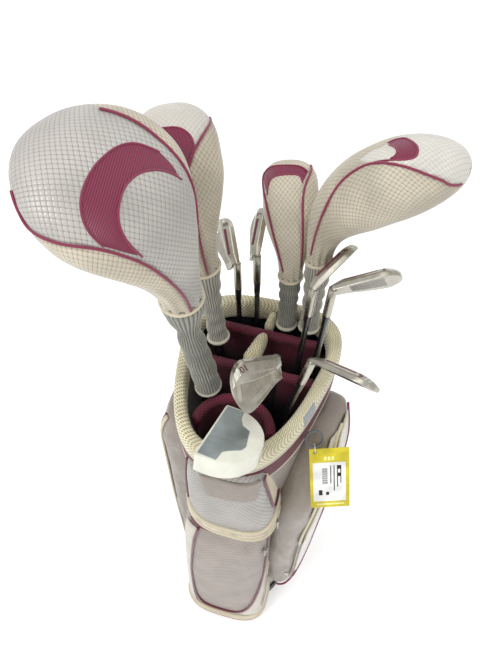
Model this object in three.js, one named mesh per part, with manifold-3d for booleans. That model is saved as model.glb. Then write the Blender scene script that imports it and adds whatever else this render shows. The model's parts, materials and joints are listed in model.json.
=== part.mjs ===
// A golf club set: a cart bag that holds eleven clubs, four of them under padded headcovers.
// Millimetres, +Z up. The origin is the centre of the base's underside, and -Y is the bag's front.
import * as THREE from 'three';
import { mergeVertices } from 'three/addons/utils/BufferGeometryUtils.js';
import Module from 'manifold-3d';

// ---- driving dimensions -------------------------------------------------------------------

const GAP = 0.4;                       // clearance between pieces that touch
const RIM = { height: 816, tilt: 0.094, halfWidth: 125, halfDepth: 158, power: 2.9, widen: 0.3, skew: 6 };
const BASE = { halfWidth: 108, halfDepth: 124, widen: 0.06, skew: 0 };
const CUFF = { thickness: 23, height: 44, rise: 14 };
const WALL = { thickness: 4, inset: 6, foot: 12.4 };
const TRAY = { height: 36, floor: 12, wall: 3, lip: 6 };
const FRAME = { thickness: 4, height: 30 };
const BAR = {
  radius: 8, panel: 2.4, rearY: 92, frontY: 16, slope: -0.035, drop: 10, endGap: 5.6, narrow: 0.00028,
};
const PANEL_DEPTH = { rear: 230, front: 230, arch: 170 };
const ARCH = { x: -3, y: -97, halfWidth: 60, height: 54, start: 3, sweep: 174 };
const CENTRE_PAD = { rise: 10, depth: 34, endSize: 0.72, corners: 12 };
const GRIP = { length: 265, buttRadius: 13, mouthRadius: 9.6, bore: 7.6, cap: 8 };
const SHAFT = { buttRadius: 7.2, tipRadius: 4.6, ferrule: 6.3, ferruleLength: 24 };
const FLOOR_GAP = 3;                   // a grip's end stands this far above the tray's floor
const HOSEL = { radius: 6.6, length: 58 };
const DEG = Math.PI / 180;

// Each club stands with its grip's end at foot and leans through crossing, its point in the rim's
// plane. toe is the compass direction of the toe, in degrees from +X, and lie and loft are its own.
const CLUBS = [
  { name: 'driver', kind: 'wood', foot: [2, 38], crossing: [-57, -41],
    length: 1172, toe: 158, lie: 58, loft: 12, size: [100, 96, 52] },
  { name: 'wood3', kind: 'wood', foot: [4, 67], crossing: [-68, 52],
    length: 1115, toe: 110, lie: 58, loft: 16, size: [82, 72, 38] },
  { name: 'hybrid', kind: 'wood', foot: [42, 68], crossing: [36, 118],
    length: 1025, toe: 104, lie: 60, loft: 22, size: [66, 44, 30] },
  { name: 'wood5', kind: 'wood', foot: [64, 94], crossing: [76, 111],
    length: 1075, toe: -6, lie: 59, loft: 19, size: [76, 64, 36] },
  { name: 'iron5', kind: 'iron', foot: [60, 44], crossing: [99.6, 44],
    length: 984, toe: 12, lie: 63, loft: 27 },
  { name: 'iron6', kind: 'iron', foot: [33, 38], crossing: [73, 42],
    length: 978, toe: 53, lie: 62, loft: 30 },
  { name: 'iron7', kind: 'iron', foot: [-2, 99], crossing: [-17, 116],
    length: 955, toe: 92, lie: 62, loft: 33 },
  { name: 'iron8', kind: 'iron', foot: [-30, 96], crossing: [-50, 116],
    length: 932, toe: 114, lie: 63, loft: 37 },
  { name: 'iron9', kind: 'iron', foot: [-78, -32], crossing: [75, -45],
    length: 945, toe: -30, lie: 63, loft: 41 },
  { name: 'wedge', kind: 'wedge', foot: [30, 8], crossing: [46, -29],
    length: 905, toe: 224, lie: 63, loft: 54 },
  { name: 'putter', kind: 'putter', foot: [-3, -70], crossing: [-4, -119],
    length: 862, toe: 262, lie: 71, loft: 3 },
];

// A cover's shell follows a spine of three points: neck lies below the heel along the shaft, bend above
// it, and the far end is reach past the head's middle. hem is the knit's lower end above the club's foot.
const COVERS = [
  { club: 'driver', bend: 14, neck: 150, reach: 104,
    halfWidth: 92, halfThickness: 42, neckRadius: 26, hem: 806 },
  { club: 'wood3', bend: 14, neck: 140, reach: 86,
    halfWidth: 58, halfThickness: 38, neckRadius: 23, hem: 816 },
  { club: 'hybrid', bend: 10, neck: 108, reach: 70,
    halfWidth: 40, halfThickness: 30, neckRadius: 18, hem: 806 },
  { club: 'wood5', bend: 18, neck: 112, reach: 148,
    halfWidth: 52, halfThickness: 48, neckRadius: 19, hem: 816 },
];
const SHELL = { wall: 6, rings: 9, corners: 16, heelSide: 18, back: 0.12, swellEnd: 0.62, closeFrom: 0.68 };
const SHELL_END = { outer: 0.995, inner: 0.95 };
const SOCK = { wall: 3.5, bottomRadius: 15, gap: 5, cuff: 40 };

// ---- the geometry helpers -----------------------------------------------------------------

const wasm = await Module();
wasm.setup();

const golfSet = new THREE.Group();

function vec(x, y, z) {
  return new THREE.Vector3(x, y, z);
}

function signedVolume(positions, faces) {
  let total = 0;
  for (const [a, b, c] of faces) {
    total += positions[a].dot(positions[b].clone().cross(positions[c])) / 6;
  }
  return total;
}

// A closed geometry from points and triangles, with its faces turned outward.
function closedGeometry(points, faces) {
  const outward = signedVolume(points, faces) > 0;
  const geometry = new THREE.BufferGeometry();
  const numbers = points.flatMap((p) => [p.x, p.y, p.z]);
  geometry.setAttribute('position', new THREE.Float32BufferAttribute(numbers, 3));
  geometry.setIndex(faces.flatMap(([a, b, c]) => (outward ? [a, b, c] : [a, c, b])));
  return geometry;
}

// Joins rings of equal counts. An open loft is capped by a fan at each end, and a looped one closes
// on itself.
function loft(rings, looped = false, hubs = []) {
  const count = rings[0].length;
  const points = rings.flat();
  const faces = [];
  const steps = looped ? rings.length : rings.length - 1;
  for (let i = 0; i < steps; i += 1) {
    const low = i * count;
    const high = ((i + 1) % rings.length) * count;
    for (let j = 0; j < count; j += 1) {
      const k = (j + 1) % count;
      faces.push([low + j, low + k, high + k], [low + j, high + k, high + j]);
    }
  }
  if (!looped) {
    const ends = [rings[0], rings[rings.length - 1]];
    ends.forEach((ring, end) => {
      const middle = ring.reduce((sum, p) => sum.add(p), vec(0, 0, 0)).multiplyScalar(1 / count);
      const hub = points.push(hubs[end] ?? middle) - 1;
      const first = end === 0 ? 0 : (rings.length - 1) * count;
      for (let j = 0; j < count; j += 1) {
        const k = (j + 1) % count;
        faces.push(end === 0 ? [hub, first + k, first + j] : [hub, first + j, first + k]);
      }
    });
  }
  return closedGeometry(points, faces);
}

function toSolid(geometry) {
  const bare = geometry.clone();
  bare.deleteAttribute('normal');
  bare.deleteAttribute('uv');
  const merged = mergeVertices(bare, 1e-4);
  const mesh = new wasm.Mesh({
    numProp: 3,
    vertProperties: Float32Array.from(merged.attributes.position.array),
    triVerts: Uint32Array.from(merged.index.array),
  });
  mesh.merge();
  return new wasm.Manifold(mesh);
}

function fromSolid(solid) {
  const mesh = solid.getMesh();
  const geometry = new THREE.BufferGeometry();
  geometry.setAttribute('position', new THREE.Float32BufferAttribute(Array.from(mesh.vertProperties), 3));
  geometry.setIndex(Array.from(mesh.triVerts));
  return geometry;
}

function joined(...geometries) {
  return fromSolid(geometries.map(toSolid).reduce((sum, solid) => sum.add(solid)));
}

function cut(geometry, ...tools) {
  return fromSolid(tools.map(toSolid).reduce((rest, tool) => rest.subtract(tool), toSolid(geometry)));
}

function addMesh(parent, name, geometry, [color, roughness, metalness]) {
  geometry.computeVertexNormals();
  const mesh = new THREE.Mesh(geometry, new THREE.MeshStandardMaterial({ color, roughness, metalness }));
  mesh.name = name;
  parent.add(mesh);
  return mesh;
}

const FINISH = {
  satin: [0xa89c90, 0.6, 0],
  cream: [0xe0d6b0, 0.85, 0],
  mesh: [0x5c1a2e, 0.8, 0],
  moulded: [0x2a2a2c, 0.6, 0],
  cover: [0xcdc3af, 0.65, 0],
  knit: [0x969687, 0.95, 0],
  rubber: [0x1c1c1e, 0.9, 0],
  shaft: [0x18181a, 0.35, 0.2],
  steel: [0xbebab0, 0.3, 1],
  white: [0xebebdc, 0.35, 0],
  zinc: [0xb0aea6, 0.35, 1],
  card: [0xe1cd1e, 0.6, 0],
  nylon: [0xe8e8e8, 0.4, 0],
};

// ---- the bag's outline --------------------------------------------------------------------

function signedPower(value, power) {
  return Math.sign(value) * Math.abs(value) ** power;
}

// The plan outline: a squared ellipse that is wider at the back than at the front.
function outlinePoint(angle, shape) {
  const along = signedPower(Math.sin(angle), 2 / RIM.power);
  const across = signedPower(Math.cos(angle), 2 / RIM.power);
  const x = shape.halfWidth * (1 + shape.widen * along) * across + shape.skew * along;
  return [x, shape.halfDepth * along];
}

function inset(shape, distance) {
  return { ...shape, halfWidth: shape.halfWidth - distance, halfDepth: shape.halfDepth - distance };
}

function outlineRing(shape, zAt, count = 40) {
  return Array.from({ length: count }, (_, i) => {
    const [x, y] = outlinePoint((i / count) * 2 * Math.PI, shape);
    return vec(x, y, zAt(y));
  });
}

// The rim's plane, lowered by drop: it rises toward the back.
function rimPlane(drop) {
  return (y) => RIM.height - drop + y * Math.tan(RIM.tilt);
}

const WALL_TOP = CUFF.height - CUFF.rise + GAP;

// The wall's outer shape at a fraction of its height, 0 at the base and 1 under the cuff.
function wallShape(fraction, distance = 0) {
  const mix = (low, high) => low + (high - low) * fraction;
  return {
    halfWidth: mix(BASE.halfWidth, RIM.halfWidth - WALL.inset) - distance,
    halfDepth: mix(BASE.halfDepth, RIM.halfDepth - WALL.inset) - distance,
    widen: mix(BASE.widen, RIM.widen),
    skew: mix(BASE.skew, RIM.skew),
  };
}

function wallHeight(fraction) {
  const top = rimPlane(WALL_TOP);
  return (y) => WALL.foot + (top(y) - WALL.foot) * fraction;
}

// The outline's left and right x at a given y.
function outlineSpan(shape, y) {
  const along = y / shape.halfDepth;
  const across = (1 - Math.abs(along) ** RIM.power) ** (1 / RIM.power);
  const half = shape.halfWidth * (1 + shape.widen * along) * across;
  return [shape.skew * along - half, shape.skew * along + half];
}

// ---- the bag ------------------------------------------------------------------------------

function wallGeometry() {
  const levels = [0, 0.25, 0.5, 0.75, 1];
  const outer = levels.map((f) => outlineRing(wallShape(f), wallHeight(f)));
  const inner = levels.map((f) => outlineRing(wallShape(f, WALL.thickness), wallHeight(f))).reverse();
  return loft([...outer, ...inner], true);
}

// Everything that the wall, with its tray, takes up, grown by a gap: it trims the pockets.
function bagEnvelope() {
  const wall = [0, 0.25, 0.5, 0.75, 1, 1.2].map((f) => outlineRing(wallShape(f, -GAP), wallHeight(f)));
  const foot = [-5, TRAY.height + GAP].map((z) => outlineRing(wallShape(0, -TRAY.lip - GAP), () => z));
  return [loft(wall), loft(foot)];
}

function trayGeometry() {
  const ringAt = (z, distance) => outlineRing(wallShape(0, distance), () => z);
  const outer = [ringAt(0, 0), ringAt(3, -TRAY.lip), ringAt(TRAY.height, -TRAY.lip)];
  const inner = [TRAY.height, TRAY.floor].map((z) => ringAt(z, TRAY.wall - TRAY.lip));
  return loft([...outer, ...inner], false, [vec(0, 0, 0), vec(0, 0, TRAY.floor)]);
}

function cuffGeometry() {
  const steps = 10;
  const rings = Array.from({ length: steps }, (_, i) => {
    const angle = (i / steps) * 2 * Math.PI;
    const across = (CUFF.thickness / 2) * (1 + signedPower(Math.cos(angle), 0.7));
    const drop = CUFF.height / 2 - CUFF.rise - (CUFF.height / 2) * signedPower(Math.sin(angle), 0.7);
    return outlineRing(inset(RIM, across), rimPlane(drop));
  });
  return loft(rings, true);
}

function frameGeometry() {
  const outside = WALL.thickness + GAP;
  const low = 1 - FRAME.height / RIM.height;
  const inside = outside + FRAME.thickness;
  const levels = [[outside, 1], [outside, low], [inside, low], [inside, 1]];
  return loft(levels.map(([distance, f]) => outlineRing(wallShape(f, distance), wallHeight(f))), true);
}

// A padded bar's section with its hanging panel: offsets across the bar and down from its centre.
const BAR_ARC = { start: -68, sweep: 316, steps: 8 };
const BAR_BOTTOM = [1, BAR_ARC.steps + 1];

function barSection(radius, depth) {
  const arc = Array.from({ length: BAR_ARC.steps + 1 },
    (_, i) => (BAR_ARC.start + (BAR_ARC.sweep * i) / BAR_ARC.steps) * DEG);
  const round = arc.map((angle) => [radius * Math.cos(angle), radius * Math.sin(angle)]);
  const half = BAR.panel / 2;
  return [[half, -depth], ...round, [-half, -depth]];
}

const INSIDE_CUFF = inset(RIM, CUFF.thickness + GAP);

// The middle of a bar's end, low in its round part: the hub that caps the end.
function barHub(ring, height) {
  return ring[BAR_BOTTOM[0]].clone().add(ring[BAR_BOTTOM[1]]).multiplyScalar(0.5).setZ(height);
}

// A straight bar across the mouth. The panel narrows with the bag's taper and slants inward with it.
function straightBar(centreY, depth) {
  const columns = 8;
  const [left, right] = outlineSpan(INSIDE_CUFF, centreY + Math.sign(centreY) * BAR.radius + 2);
  const rings = Array.from({ length: columns + 1 }, (_, i) => {
    const t = i / columns;
    return barSection(BAR.radius, depth).map(([offset, lift]) => {
      const taper = 1 + Math.min(lift, 0) * BAR.narrow;
      const x = THREE.MathUtils.lerp(left + BAR.endGap, right - BAR.endGap, t) * taper;
      const y = (centreY + x * BAR.slope) * taper + offset;
      return vec(x, y, rimPlane(BAR.drop)(y) + lift);
    });
  });
  return loft(rings, false, [0, columns].map((i) => barHub(rings[i], rimPlane(BAR.drop)(centreY))));
}

// The putter well's bar: half an ellipse in plan, from cuff to cuff.
function archBar() {
  const columns = 14;
  const rings = Array.from({ length: columns + 1 }, (_, i) => {
    const angle = (ARCH.start + (ARCH.sweep * i) / columns) * DEG;
    const centre = [ARCH.x + ARCH.halfWidth * Math.cos(angle), ARCH.y + ARCH.height * Math.sin(angle)];
    const normal = new THREE.Vector2(Math.cos(angle) / ARCH.halfWidth, Math.sin(angle) / ARCH.height);
    normal.normalize();
    return barSection(BAR.radius, PANEL_DEPTH.arch).map(([offset, lift]) => {
      const x = centre[0] + normal.x * offset;
      const y = centre[1] + normal.y * offset;
      return vec(x, y, rimPlane(BAR.drop)(y) + lift);
    });
  });
  return loft(rings, false, [0, columns].map((i) => barHub(rings[i], rimPlane(BAR.drop)(ARCH.y))));
}

// A padded piece between two bars, rounded on top, running front to back.
function centrePad(from, to, halfWidths) {
  const columns = 6;
  const rings = Array.from({ length: columns + 1 }, (_, i) => {
    const t = i / columns;
    const x = THREE.MathUtils.lerp(from[0], to[0], t);
    const y = THREE.MathUtils.lerp(from[1], to[1], t);
    const width = THREE.MathUtils.lerp(halfWidths[0], halfWidths[1], t);
    const rounding = i === 0 || i === columns ? CENTRE_PAD.endSize : 1;
    const height = rimPlane(CENTRE_PAD.depth / 2 - CENTRE_PAD.rise)(y);
    return Array.from({ length: CENTRE_PAD.corners }, (_, j) => {
      const angle = (j / CENTRE_PAD.corners) * 2 * Math.PI;
      const lift = Math.sin(angle) * (CENTRE_PAD.depth / 2) * rounding;
      return vec(x + Math.cos(angle) * width * rounding, y, height + lift);
    });
  });
  return loft(rings);
}

// A pocket's ring: a squared ellipse turned about Z.
function pocketRing({ z, x, y, halfWidth, halfDepth, turn = 0 }, power = 3.4, count = 28) {
  return Array.from({ length: count }, (_, i) => {
    const angle = (i / count) * 2 * Math.PI;
    const across = halfWidth * signedPower(Math.cos(angle), 2 / power);
    const along = halfDepth * signedPower(Math.sin(angle), 2 / power);
    const swing = turn * DEG;
    return vec(x + across * Math.cos(swing) - along * Math.sin(swing),
      y + across * Math.sin(swing) + along * Math.cos(swing), z);
  });
}

function pocketBody(stations, power) {
  return loft(stations.map((station) => pocketRing(station, power)));
}

const POCKETS = {
  lower_front_pocket: [
    { z: 0, x: -20, y: -128, halfWidth: 98, halfDepth: 60 },
    { z: 8, x: -20, y: -128, halfWidth: 102, halfDepth: 64 },
    { z: 300, x: -16, y: -124, halfWidth: 92, halfDepth: 60 },
    { z: 500, x: -10, y: -124, halfWidth: 84, halfDepth: 54 },
    { z: 566, x: -4, y: -124, halfWidth: 76, halfDepth: 46 },
  ],
  upper_front_pocket: [
    { z: 570, x: 6, y: -122, halfWidth: 74, halfDepth: 54 },
    { z: 578, x: 8, y: -122, halfWidth: 80, halfDepth: 60 },
    { z: 640, x: 4, y: -124, halfWidth: 76, halfDepth: 56 },
    { z: 720, x: -2, y: -124, halfWidth: 68, halfDepth: 46 },
    { z: 762, x: -2, y: -124, halfWidth: 62, halfDepth: 40 },
  ],
  left_side_pocket: [
    { z: 60, x: -118, y: 2, halfWidth: 34, halfDepth: 70 },
    { z: 90, x: -120, y: 2, halfWidth: 42, halfDepth: 78 },
    { z: 400, x: -122, y: 2, halfWidth: 42, halfDepth: 80 },
    { z: 660, x: -120, y: 2, halfWidth: 42, halfDepth: 76 },
    { z: 730, x: -112, y: 2, halfWidth: 30, halfDepth: 62 },
  ],
  right_side_pocket: [
    { z: 196, x: 118, y: -34, halfWidth: 36, halfDepth: 98, turn: -16 },
    { z: 216, x: 120, y: -34, halfWidth: 42, halfDepth: 104, turn: -16 },
    { z: 420, x: 124, y: -32, halfWidth: 44, halfDepth: 104, turn: -16 },
    { z: 610, x: 130, y: -26, halfWidth: 44, halfDepth: 102, turn: -16 },
    { z: 690, x: 134, y: -2, halfWidth: 40, halfDepth: 74, turn: -16 },
    { z: 740, x: 134, y: 16, halfWidth: 28, halfDepth: 48, turn: -16 },
  ],
};
// The front pockets grown by a gap, to trim the side pocket that reaches in behind them.
function frontPocketsGrown() {
  const grown = (station, i) => ({
    ...station,
    z: station.z + (i === 0 ? -GAP : GAP),
    halfWidth: station.halfWidth + GAP,
    halfDepth: station.halfDepth + GAP,
  });
  return ['lower_front_pocket', 'upper_front_pocket'].map((name) => pocketBody(POCKETS[name].map(grown)));
}

// The open pocket's hollow: its skin, and how far it keeps from the bag, from the ends and from the top.
const HOLLOW = { skin: 7, fromBag: 7, fromEnds: 24, lift: [24, 0, -24] };
const ZIP_SLOT = { from: [172, -44, 650], to: [166, -58, 400], width: 14, reach: 60, turn: -16 };

// The right pocket is hollow, with a slot where its zip is open.
function openPocket(body) {
  const inside = POCKETS.right_side_pocket.slice(1, 4).map((station, i) => ({
    ...station,
    z: station.z + HOLLOW.lift[i],
    x: station.x + HOLLOW.fromBag,
    halfWidth: station.halfWidth - HOLLOW.skin - HOLLOW.fromBag,
    halfDepth: station.halfDepth - HOLLOW.skin - HOLLOW.fromEnds,
  }));
  const from = vec(...ZIP_SLOT.from);
  const to = vec(...ZIP_SLOT.to);
  const slot = new THREE.BoxGeometry(ZIP_SLOT.reach, ZIP_SLOT.width, from.distanceTo(to));
  slot.rotateZ(ZIP_SLOT.turn * DEG);
  const along = from.clone().sub(to).normalize();
  slot.applyQuaternion(new THREE.Quaternion().setFromUnitVectors(vec(0, 0, 1), along));
  slot.translate(...from.clone().add(to).multiplyScalar(0.5).toArray());
  return cut(body, pocketBody(inside), slot);
}

function buildBag() {
  const envelope = bagEnvelope();
  addMesh(golfSet, 'bag_wall', wallGeometry(), FINISH.satin);
  addMesh(golfSet, 'base_tray', trayGeometry(), FINISH.moulded);
  addMesh(golfSet, 'rim_cuff', cuffGeometry(), FINISH.cream);
  addMesh(golfSet, 'rim_frame', frameGeometry(), FINISH.moulded);
  addMesh(golfSet, 'divider_rear', straightBar(BAR.rearY, PANEL_DEPTH.rear), FINISH.mesh);
  addMesh(golfSet, 'divider_front', straightBar(BAR.frontY, PANEL_DEPTH.front), FINISH.mesh);
  addMesh(golfSet, 'divider_arch', archBar(), FINISH.mesh);
  const rearFace = BAR.rearY + BAR.radius + 1;
  addMesh(golfSet, 'centre_pad_back', centrePad([7, rearFace], [11, 131], [8, 8]), FINISH.cream);
  const nearFace = BAR.rearY - BAR.radius - 1;
  addMesh(golfSet, 'centre_pad_front', centrePad([4, nearFace], [-8, BAR.frontY + BAR.radius + 1], [10, 15]),
    FINISH.cream);
  Object.entries(POCKETS).forEach(([name, stations]) => {
    const open = name === 'right_side_pocket';
    const body = cut(pocketBody(stations), ...envelope, ...(open ? frontPocketsGrown() : []));
    addMesh(golfSet, name, open ? openPocket(body) : body, FINISH.satin);
  });
}

// ---- the clubs ----------------------------------------------------------------------------

// A club's frame: axis runs up its shaft, toe and face are the head's own directions, and the sole
// looks up, because the club stands on its grip.
function clubFrame(club) {
  const footHeight = TRAY.floor + FLOOR_GAP;
  const foot = vec(club.foot[0], club.foot[1], footHeight);
  const crossing = vec(club.crossing[0], club.crossing[1], rimPlane(0)(club.crossing[1]));
  const axis = crossing.clone().sub(foot).normalize();
  const compass = vec(Math.cos(club.toe * DEG), Math.sin(club.toe * DEG), 0);
  const level = compass.addScaledVector(axis, -compass.dot(axis)).normalize();
  const lean = club.lie * DEG;
  const toe = axis.clone().multiplyScalar(Math.cos(lean)).addScaledVector(level, Math.sin(lean));
  const sole = axis.clone().addScaledVector(toe, -Math.cos(lean)).multiplyScalar(1 / Math.sin(lean));
  const face = toe.clone().cross(sole);
  const heel = foot.clone().addScaledVector(axis, club.length);
  return { foot, axis, toe, sole, face, heel };
}

// Turns a profile of [radius, height] pairs about +Z.
function turned(profile, segments = 10) {
  const geometry = new THREE.LatheGeometry(profile.map(([r, z]) => new THREE.Vector2(r, z)), segments);
  return geometry.rotateX(Math.PI / 2);
}

function gripGeometry() {
  const { length, buttRadius, mouthRadius, bore, cap } = GRIP;
  return turned([[0, 0], [buttRadius - 1.5, 0], [buttRadius, 2], [buttRadius - 1, 30], [mouthRadius, length],
    [bore, length], [bore, cap], [0, cap]]);
}

function shaftGeometry(length) {
  const { buttRadius, tipRadius, ferrule, ferruleLength } = SHAFT;
  const end = length - HOSEL.length - GAP;
  const start = GRIP.cap + GAP;
  return turned([[0, start], [buttRadius, start], [buttRadius, GRIP.length], [tipRadius, end - ferruleLength],
    [ferrule - 1.2, end - ferruleLength], [ferrule, end], [0, end]]);
}

// A hosel in the head's frame, where +Z is up at address and the shaft's axis passes through the heel.
function hoselGeometry(lie, radius, start) {
  const hosel = turned([[0, start], [radius * 0.95, start], [radius, start + 16], [radius * 0.92, HOSEL.length],
    [0, HOSEL.length]], 12);
  return hosel.rotateY(-(90 - lie) * DEG);
}

// An iron at address: +X toward the toe, +Y out of the face, +Z up. Sections run from heel to toe.
const IRON = { length: 90, heelHeight: 27, toeHeight: 56, sole: 19, topline: 6, cavity: 6.5, lead: 6 };
const WEDGE = { length: 86, heelHeight: 34, toeHeight: 76, sole: 23, topline: 5, cavity: 4, lead: 6 };

// Nine points from the face's foot over the topline and down the back, at t from heel to toe.
function bladeSection(t, blade, loftAngle) {
  const rounding = t > 0.7 ? Math.sqrt(Math.max(1 - ((t - 0.7) / 0.305) ** 2, 0.02)) : 1;
  const heelEase = Math.min(1, 0.45 + t * 3.2);
  const growth = THREE.MathUtils.smoothstep(t, -0.1, 0.85);
  const full = Math.cos(loftAngle) * THREE.MathUtils.lerp(blade.heelHeight, blade.toeHeight, growth);
  const middle = full * 0.44 + 3 * t;
  const top = middle + (full - middle) * rounding;
  const bottom = middle - middle * rounding * (0.9 + 0.1 * heelEase);
  const height = top - bottom;
  const heelFade = THREE.MathUtils.clamp((t - 0.1) / 0.12, 0, 1);
  const toeFade = THREE.MathUtils.clamp((0.93 - t) / 0.1, 0, 1);
  const hollow = blade.cavity * heelFade * toeFade;
  const lean = Math.tan(loftAngle);
  const depth = THREE.MathUtils.lerp(blade.topline * 1.2, blade.sole, heelEase) * (0.35 + 0.65 * rounding);
  const back = (share) => blade.lead - lean * (height * share + bottom);
  return [
    [back(0.05), bottom + height * 0.05],
    [back(1), top],
    [back(1) - blade.topline, top - 1],
    [back(0.86) - blade.topline - 1, bottom + height * 0.86],
    [back(0.8) - blade.topline - 1 + hollow, bottom + height * 0.8],
    [back(0.36) - blade.topline - 3 + hollow, bottom + height * 0.36],
    [back(0.3) - depth * 0.82, bottom + height * 0.27],
    [back(0.1) - depth * 0.96, bottom + height * 0.1],
    [back(0) - depth * 0.5, bottom - 0.6],
  ];
}

function bladeGeometry(blade, loftAngle) {
  const columns = 13;
  const rings = Array.from({ length: columns + 1 }, (_, i) => {
    const t = i / columns;
    const x = -4 + t * (blade.length + 4);
    return bladeSection(t, blade, loftAngle).map(([y, z]) => vec(x, y, z));
  });
  return loft(rings);
}

function ironGeometry(club) {
  const blade = club.kind === 'wedge' ? WEDGE : IRON;
  return joined(bladeGeometry(blade, club.loft * DEG), hoselGeometry(club.lie, HOSEL.radius, 4));
}

// A wood: a flattened dome. Its centre lies this share of its length and depth from the heel.
const DOME = { toward: 0.36, back: 0.2 };

function woodGeometry(club) {
  const [length, depth, height] = club.size;
  const dome = new THREE.SphereGeometry(0.5, 16, 9);
  dome.scale(length, depth, height);
  dome.translate(length * DOME.toward, -depth * DOME.back, height * 0.5);
  return joined(dome, hoselGeometry(club.lie, HOSEL.radius, height * 0.2));
}

// A mallet putter: straight face, half-round back, with a short bent neck at its heel.
const MALLET = { width: 104, depth: 74, height: 26, heel: 22, front: 6, corner: 10, edge: 2 };

function putterGeometry(club) {
  const { width, depth, height, heel, front, corner, edge } = MALLET;
  const outline = new THREE.Shape();
  outline.moveTo(-heel, front);
  outline.lineTo(width - heel, front);
  outline.lineTo(width - heel, -corner);
  outline.absellipse(width / 2 - heel, -corner, width / 2, depth - corner - front, 0, -Math.PI, true);
  outline.closePath();
  const body = new THREE.ExtrudeGeometry(outline, { depth: height, bevelEnabled: true, bevelSize: edge,
    bevelThickness: edge, bevelOffset: -edge, bevelSegments: 1, curveSegments: 16 });
  return joined(body, hoselGeometry(club.lie, HOSEL.radius, height * 0.2));
}

function headGeometry(club) {
  if (club.kind === 'wood') {
    return woodGeometry(club);
  }
  return club.kind === 'putter' ? putterGeometry(club) : ironGeometry(club);
}

function buildClub(club) {
  const frame = clubFrame(club);
  const stem = new THREE.Group();
  stem.position.copy(frame.foot);
  stem.quaternion.setFromUnitVectors(vec(0, 0, 1), frame.axis);
  golfSet.add(stem);
  addMesh(stem, `${club.name}_grip`, gripGeometry(), FINISH.rubber);
  addMesh(stem, `${club.name}_shaft`, shaftGeometry(club.length), FINISH.shaft);
  const top = new THREE.Group();
  top.position.copy(frame.heel);
  const up = frame.sole.clone().negate();
  top.quaternion.setFromRotationMatrix(new THREE.Matrix4().makeBasis(frame.toe, frame.face, up));
  golfSet.add(top);
  const finish = { wood: FINISH.shaft, putter: FINISH.white }[club.kind] ?? FINISH.steel;
  addMesh(top, `${club.name}_head`, headGeometry(club), finish);
}

// ---- the headcovers -----------------------------------------------------------------------

// Rings along a cover's spine, from the neck to the far end, drawn in by distance.
function coverRings(cover, distance, to) {
  const club = CLUBS.find((entry) => entry.name === cover.club);
  const { axis, toe, face, heel, sole } = clubFrame(club);
  const neck = heel.clone().addScaledVector(axis, -cover.neck);
  const [length, depth, height] = club.size;
  const level = toe.clone().addScaledVector(axis, -toe.dot(axis)).normalize();
  const bend = heel.clone().addScaledVector(axis, cover.bend).addScaledVector(level, -SHELL.heelSide)
    .addScaledVector(face, -depth * SHELL.back);
  const tip = heel.clone().addScaledVector(toe, length * DOME.toward + cover.reach)
    .addScaledVector(face, -depth * DOME.back).addScaledVector(sole, -height * 0.5);
  const spine = new THREE.QuadraticBezierCurve3(neck, bend, tip);
  return Array.from({ length: SHELL.rings + 1 }, (_, i) => {
    const t = to * Math.sin((Math.PI / 2) * (i / SHELL.rings));
    const centre = spine.getPoint(t);
    const along = spine.getTangent(t);
    const wide = face.clone().addScaledVector(along, -face.dot(along)).normalize();
    const thick = along.clone().cross(wide);
    const swell = THREE.MathUtils.smoothstep(t, 0.02, SHELL.swellEnd);
    const past = Math.max(t - SHELL.closeFrom, 0) / (1.005 - SHELL.closeFrom);
    const close = Math.sqrt(1 - past ** 2);
    const width = (THREE.MathUtils.lerp(cover.neckRadius, cover.halfWidth, swell) - distance) * close;
    const thickness = (THREE.MathUtils.lerp(cover.neckRadius, cover.halfThickness, swell) - distance) * close;
    return Array.from({ length: SHELL.corners }, (_, j) => {
      const angle = (j / SHELL.corners) * 2 * Math.PI;
      return centre.clone().addScaledVector(wide, width * Math.cos(angle))
        .addScaledVector(thick, thickness * Math.sin(angle));
    });
  });
}

function shellGeometry(cover) {
  const outer = coverRings(cover, 0, SHELL_END.outer);
  const inner = coverRings(cover, SHELL.wall, SHELL_END.inner);
  return loft([...outer.reverse(), ...inner]);
}

// The knit sock: a tube along the shaft from the shell's neck down to its hem.
function sockGeometry(cover) {
  const club = CLUBS.find((entry) => entry.name === cover.club);
  const start = club.length - cover.neck - SOCK.gap;
  const { hem } = cover;
  const radius = cover.neckRadius;
  const low = SOCK.bottomRadius;
  const knee = hem + SOCK.cuff;
  return turned([[low, hem], [low + 1, knee], [radius, start], [radius - SOCK.wall, start],
    [low + 1 - SOCK.wall, knee], [low - SOCK.wall, hem], [low, hem]], SHELL.corners);
}

function buildCover(cover) {
  const club = CLUBS.find((entry) => entry.name === cover.club);
  const frame = clubFrame(club);
  addMesh(golfSet, `${cover.club}_cover_shell`, shellGeometry(cover), FINISH.cover);
  const stem = new THREE.Group();
  stem.position.copy(frame.foot);
  stem.quaternion.setFromUnitVectors(vec(0, 0, 1), frame.axis);
  golfSet.add(stem);
  addMesh(stem, `${cover.club}_cover_sock`, sockGeometry(cover), FINISH.knit);
}

// ---- the trim that moves ------------------------------------------------------------------

// The tag's own directions: across its width, down its length and out of its printed side.
const TAG = { corner: [118, -69, 743], width: 65, height: 112, thickness: 1.2, hole: [9, 7], holeRadius: 3 };
const TAG_ACROSS = vec(0.953, 0.29, 0.056).normalize();
const TAG_OUT = vec(0.224, -0.834, 0.509).normalize();
const TIE = { radius: 7.5, wire: 0.7 };
const RING = { radius: 14, wire: 2.2 };

function tagFrame() {
  const group = new THREE.Group();
  const up = TAG_OUT.clone().cross(TAG_ACROSS).normalize();
  group.position.set(...TAG.corner);
  group.quaternion.setFromRotationMatrix(new THREE.Matrix4().makeBasis(TAG_ACROSS, up, TAG_OUT));
  return group;
}

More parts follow.
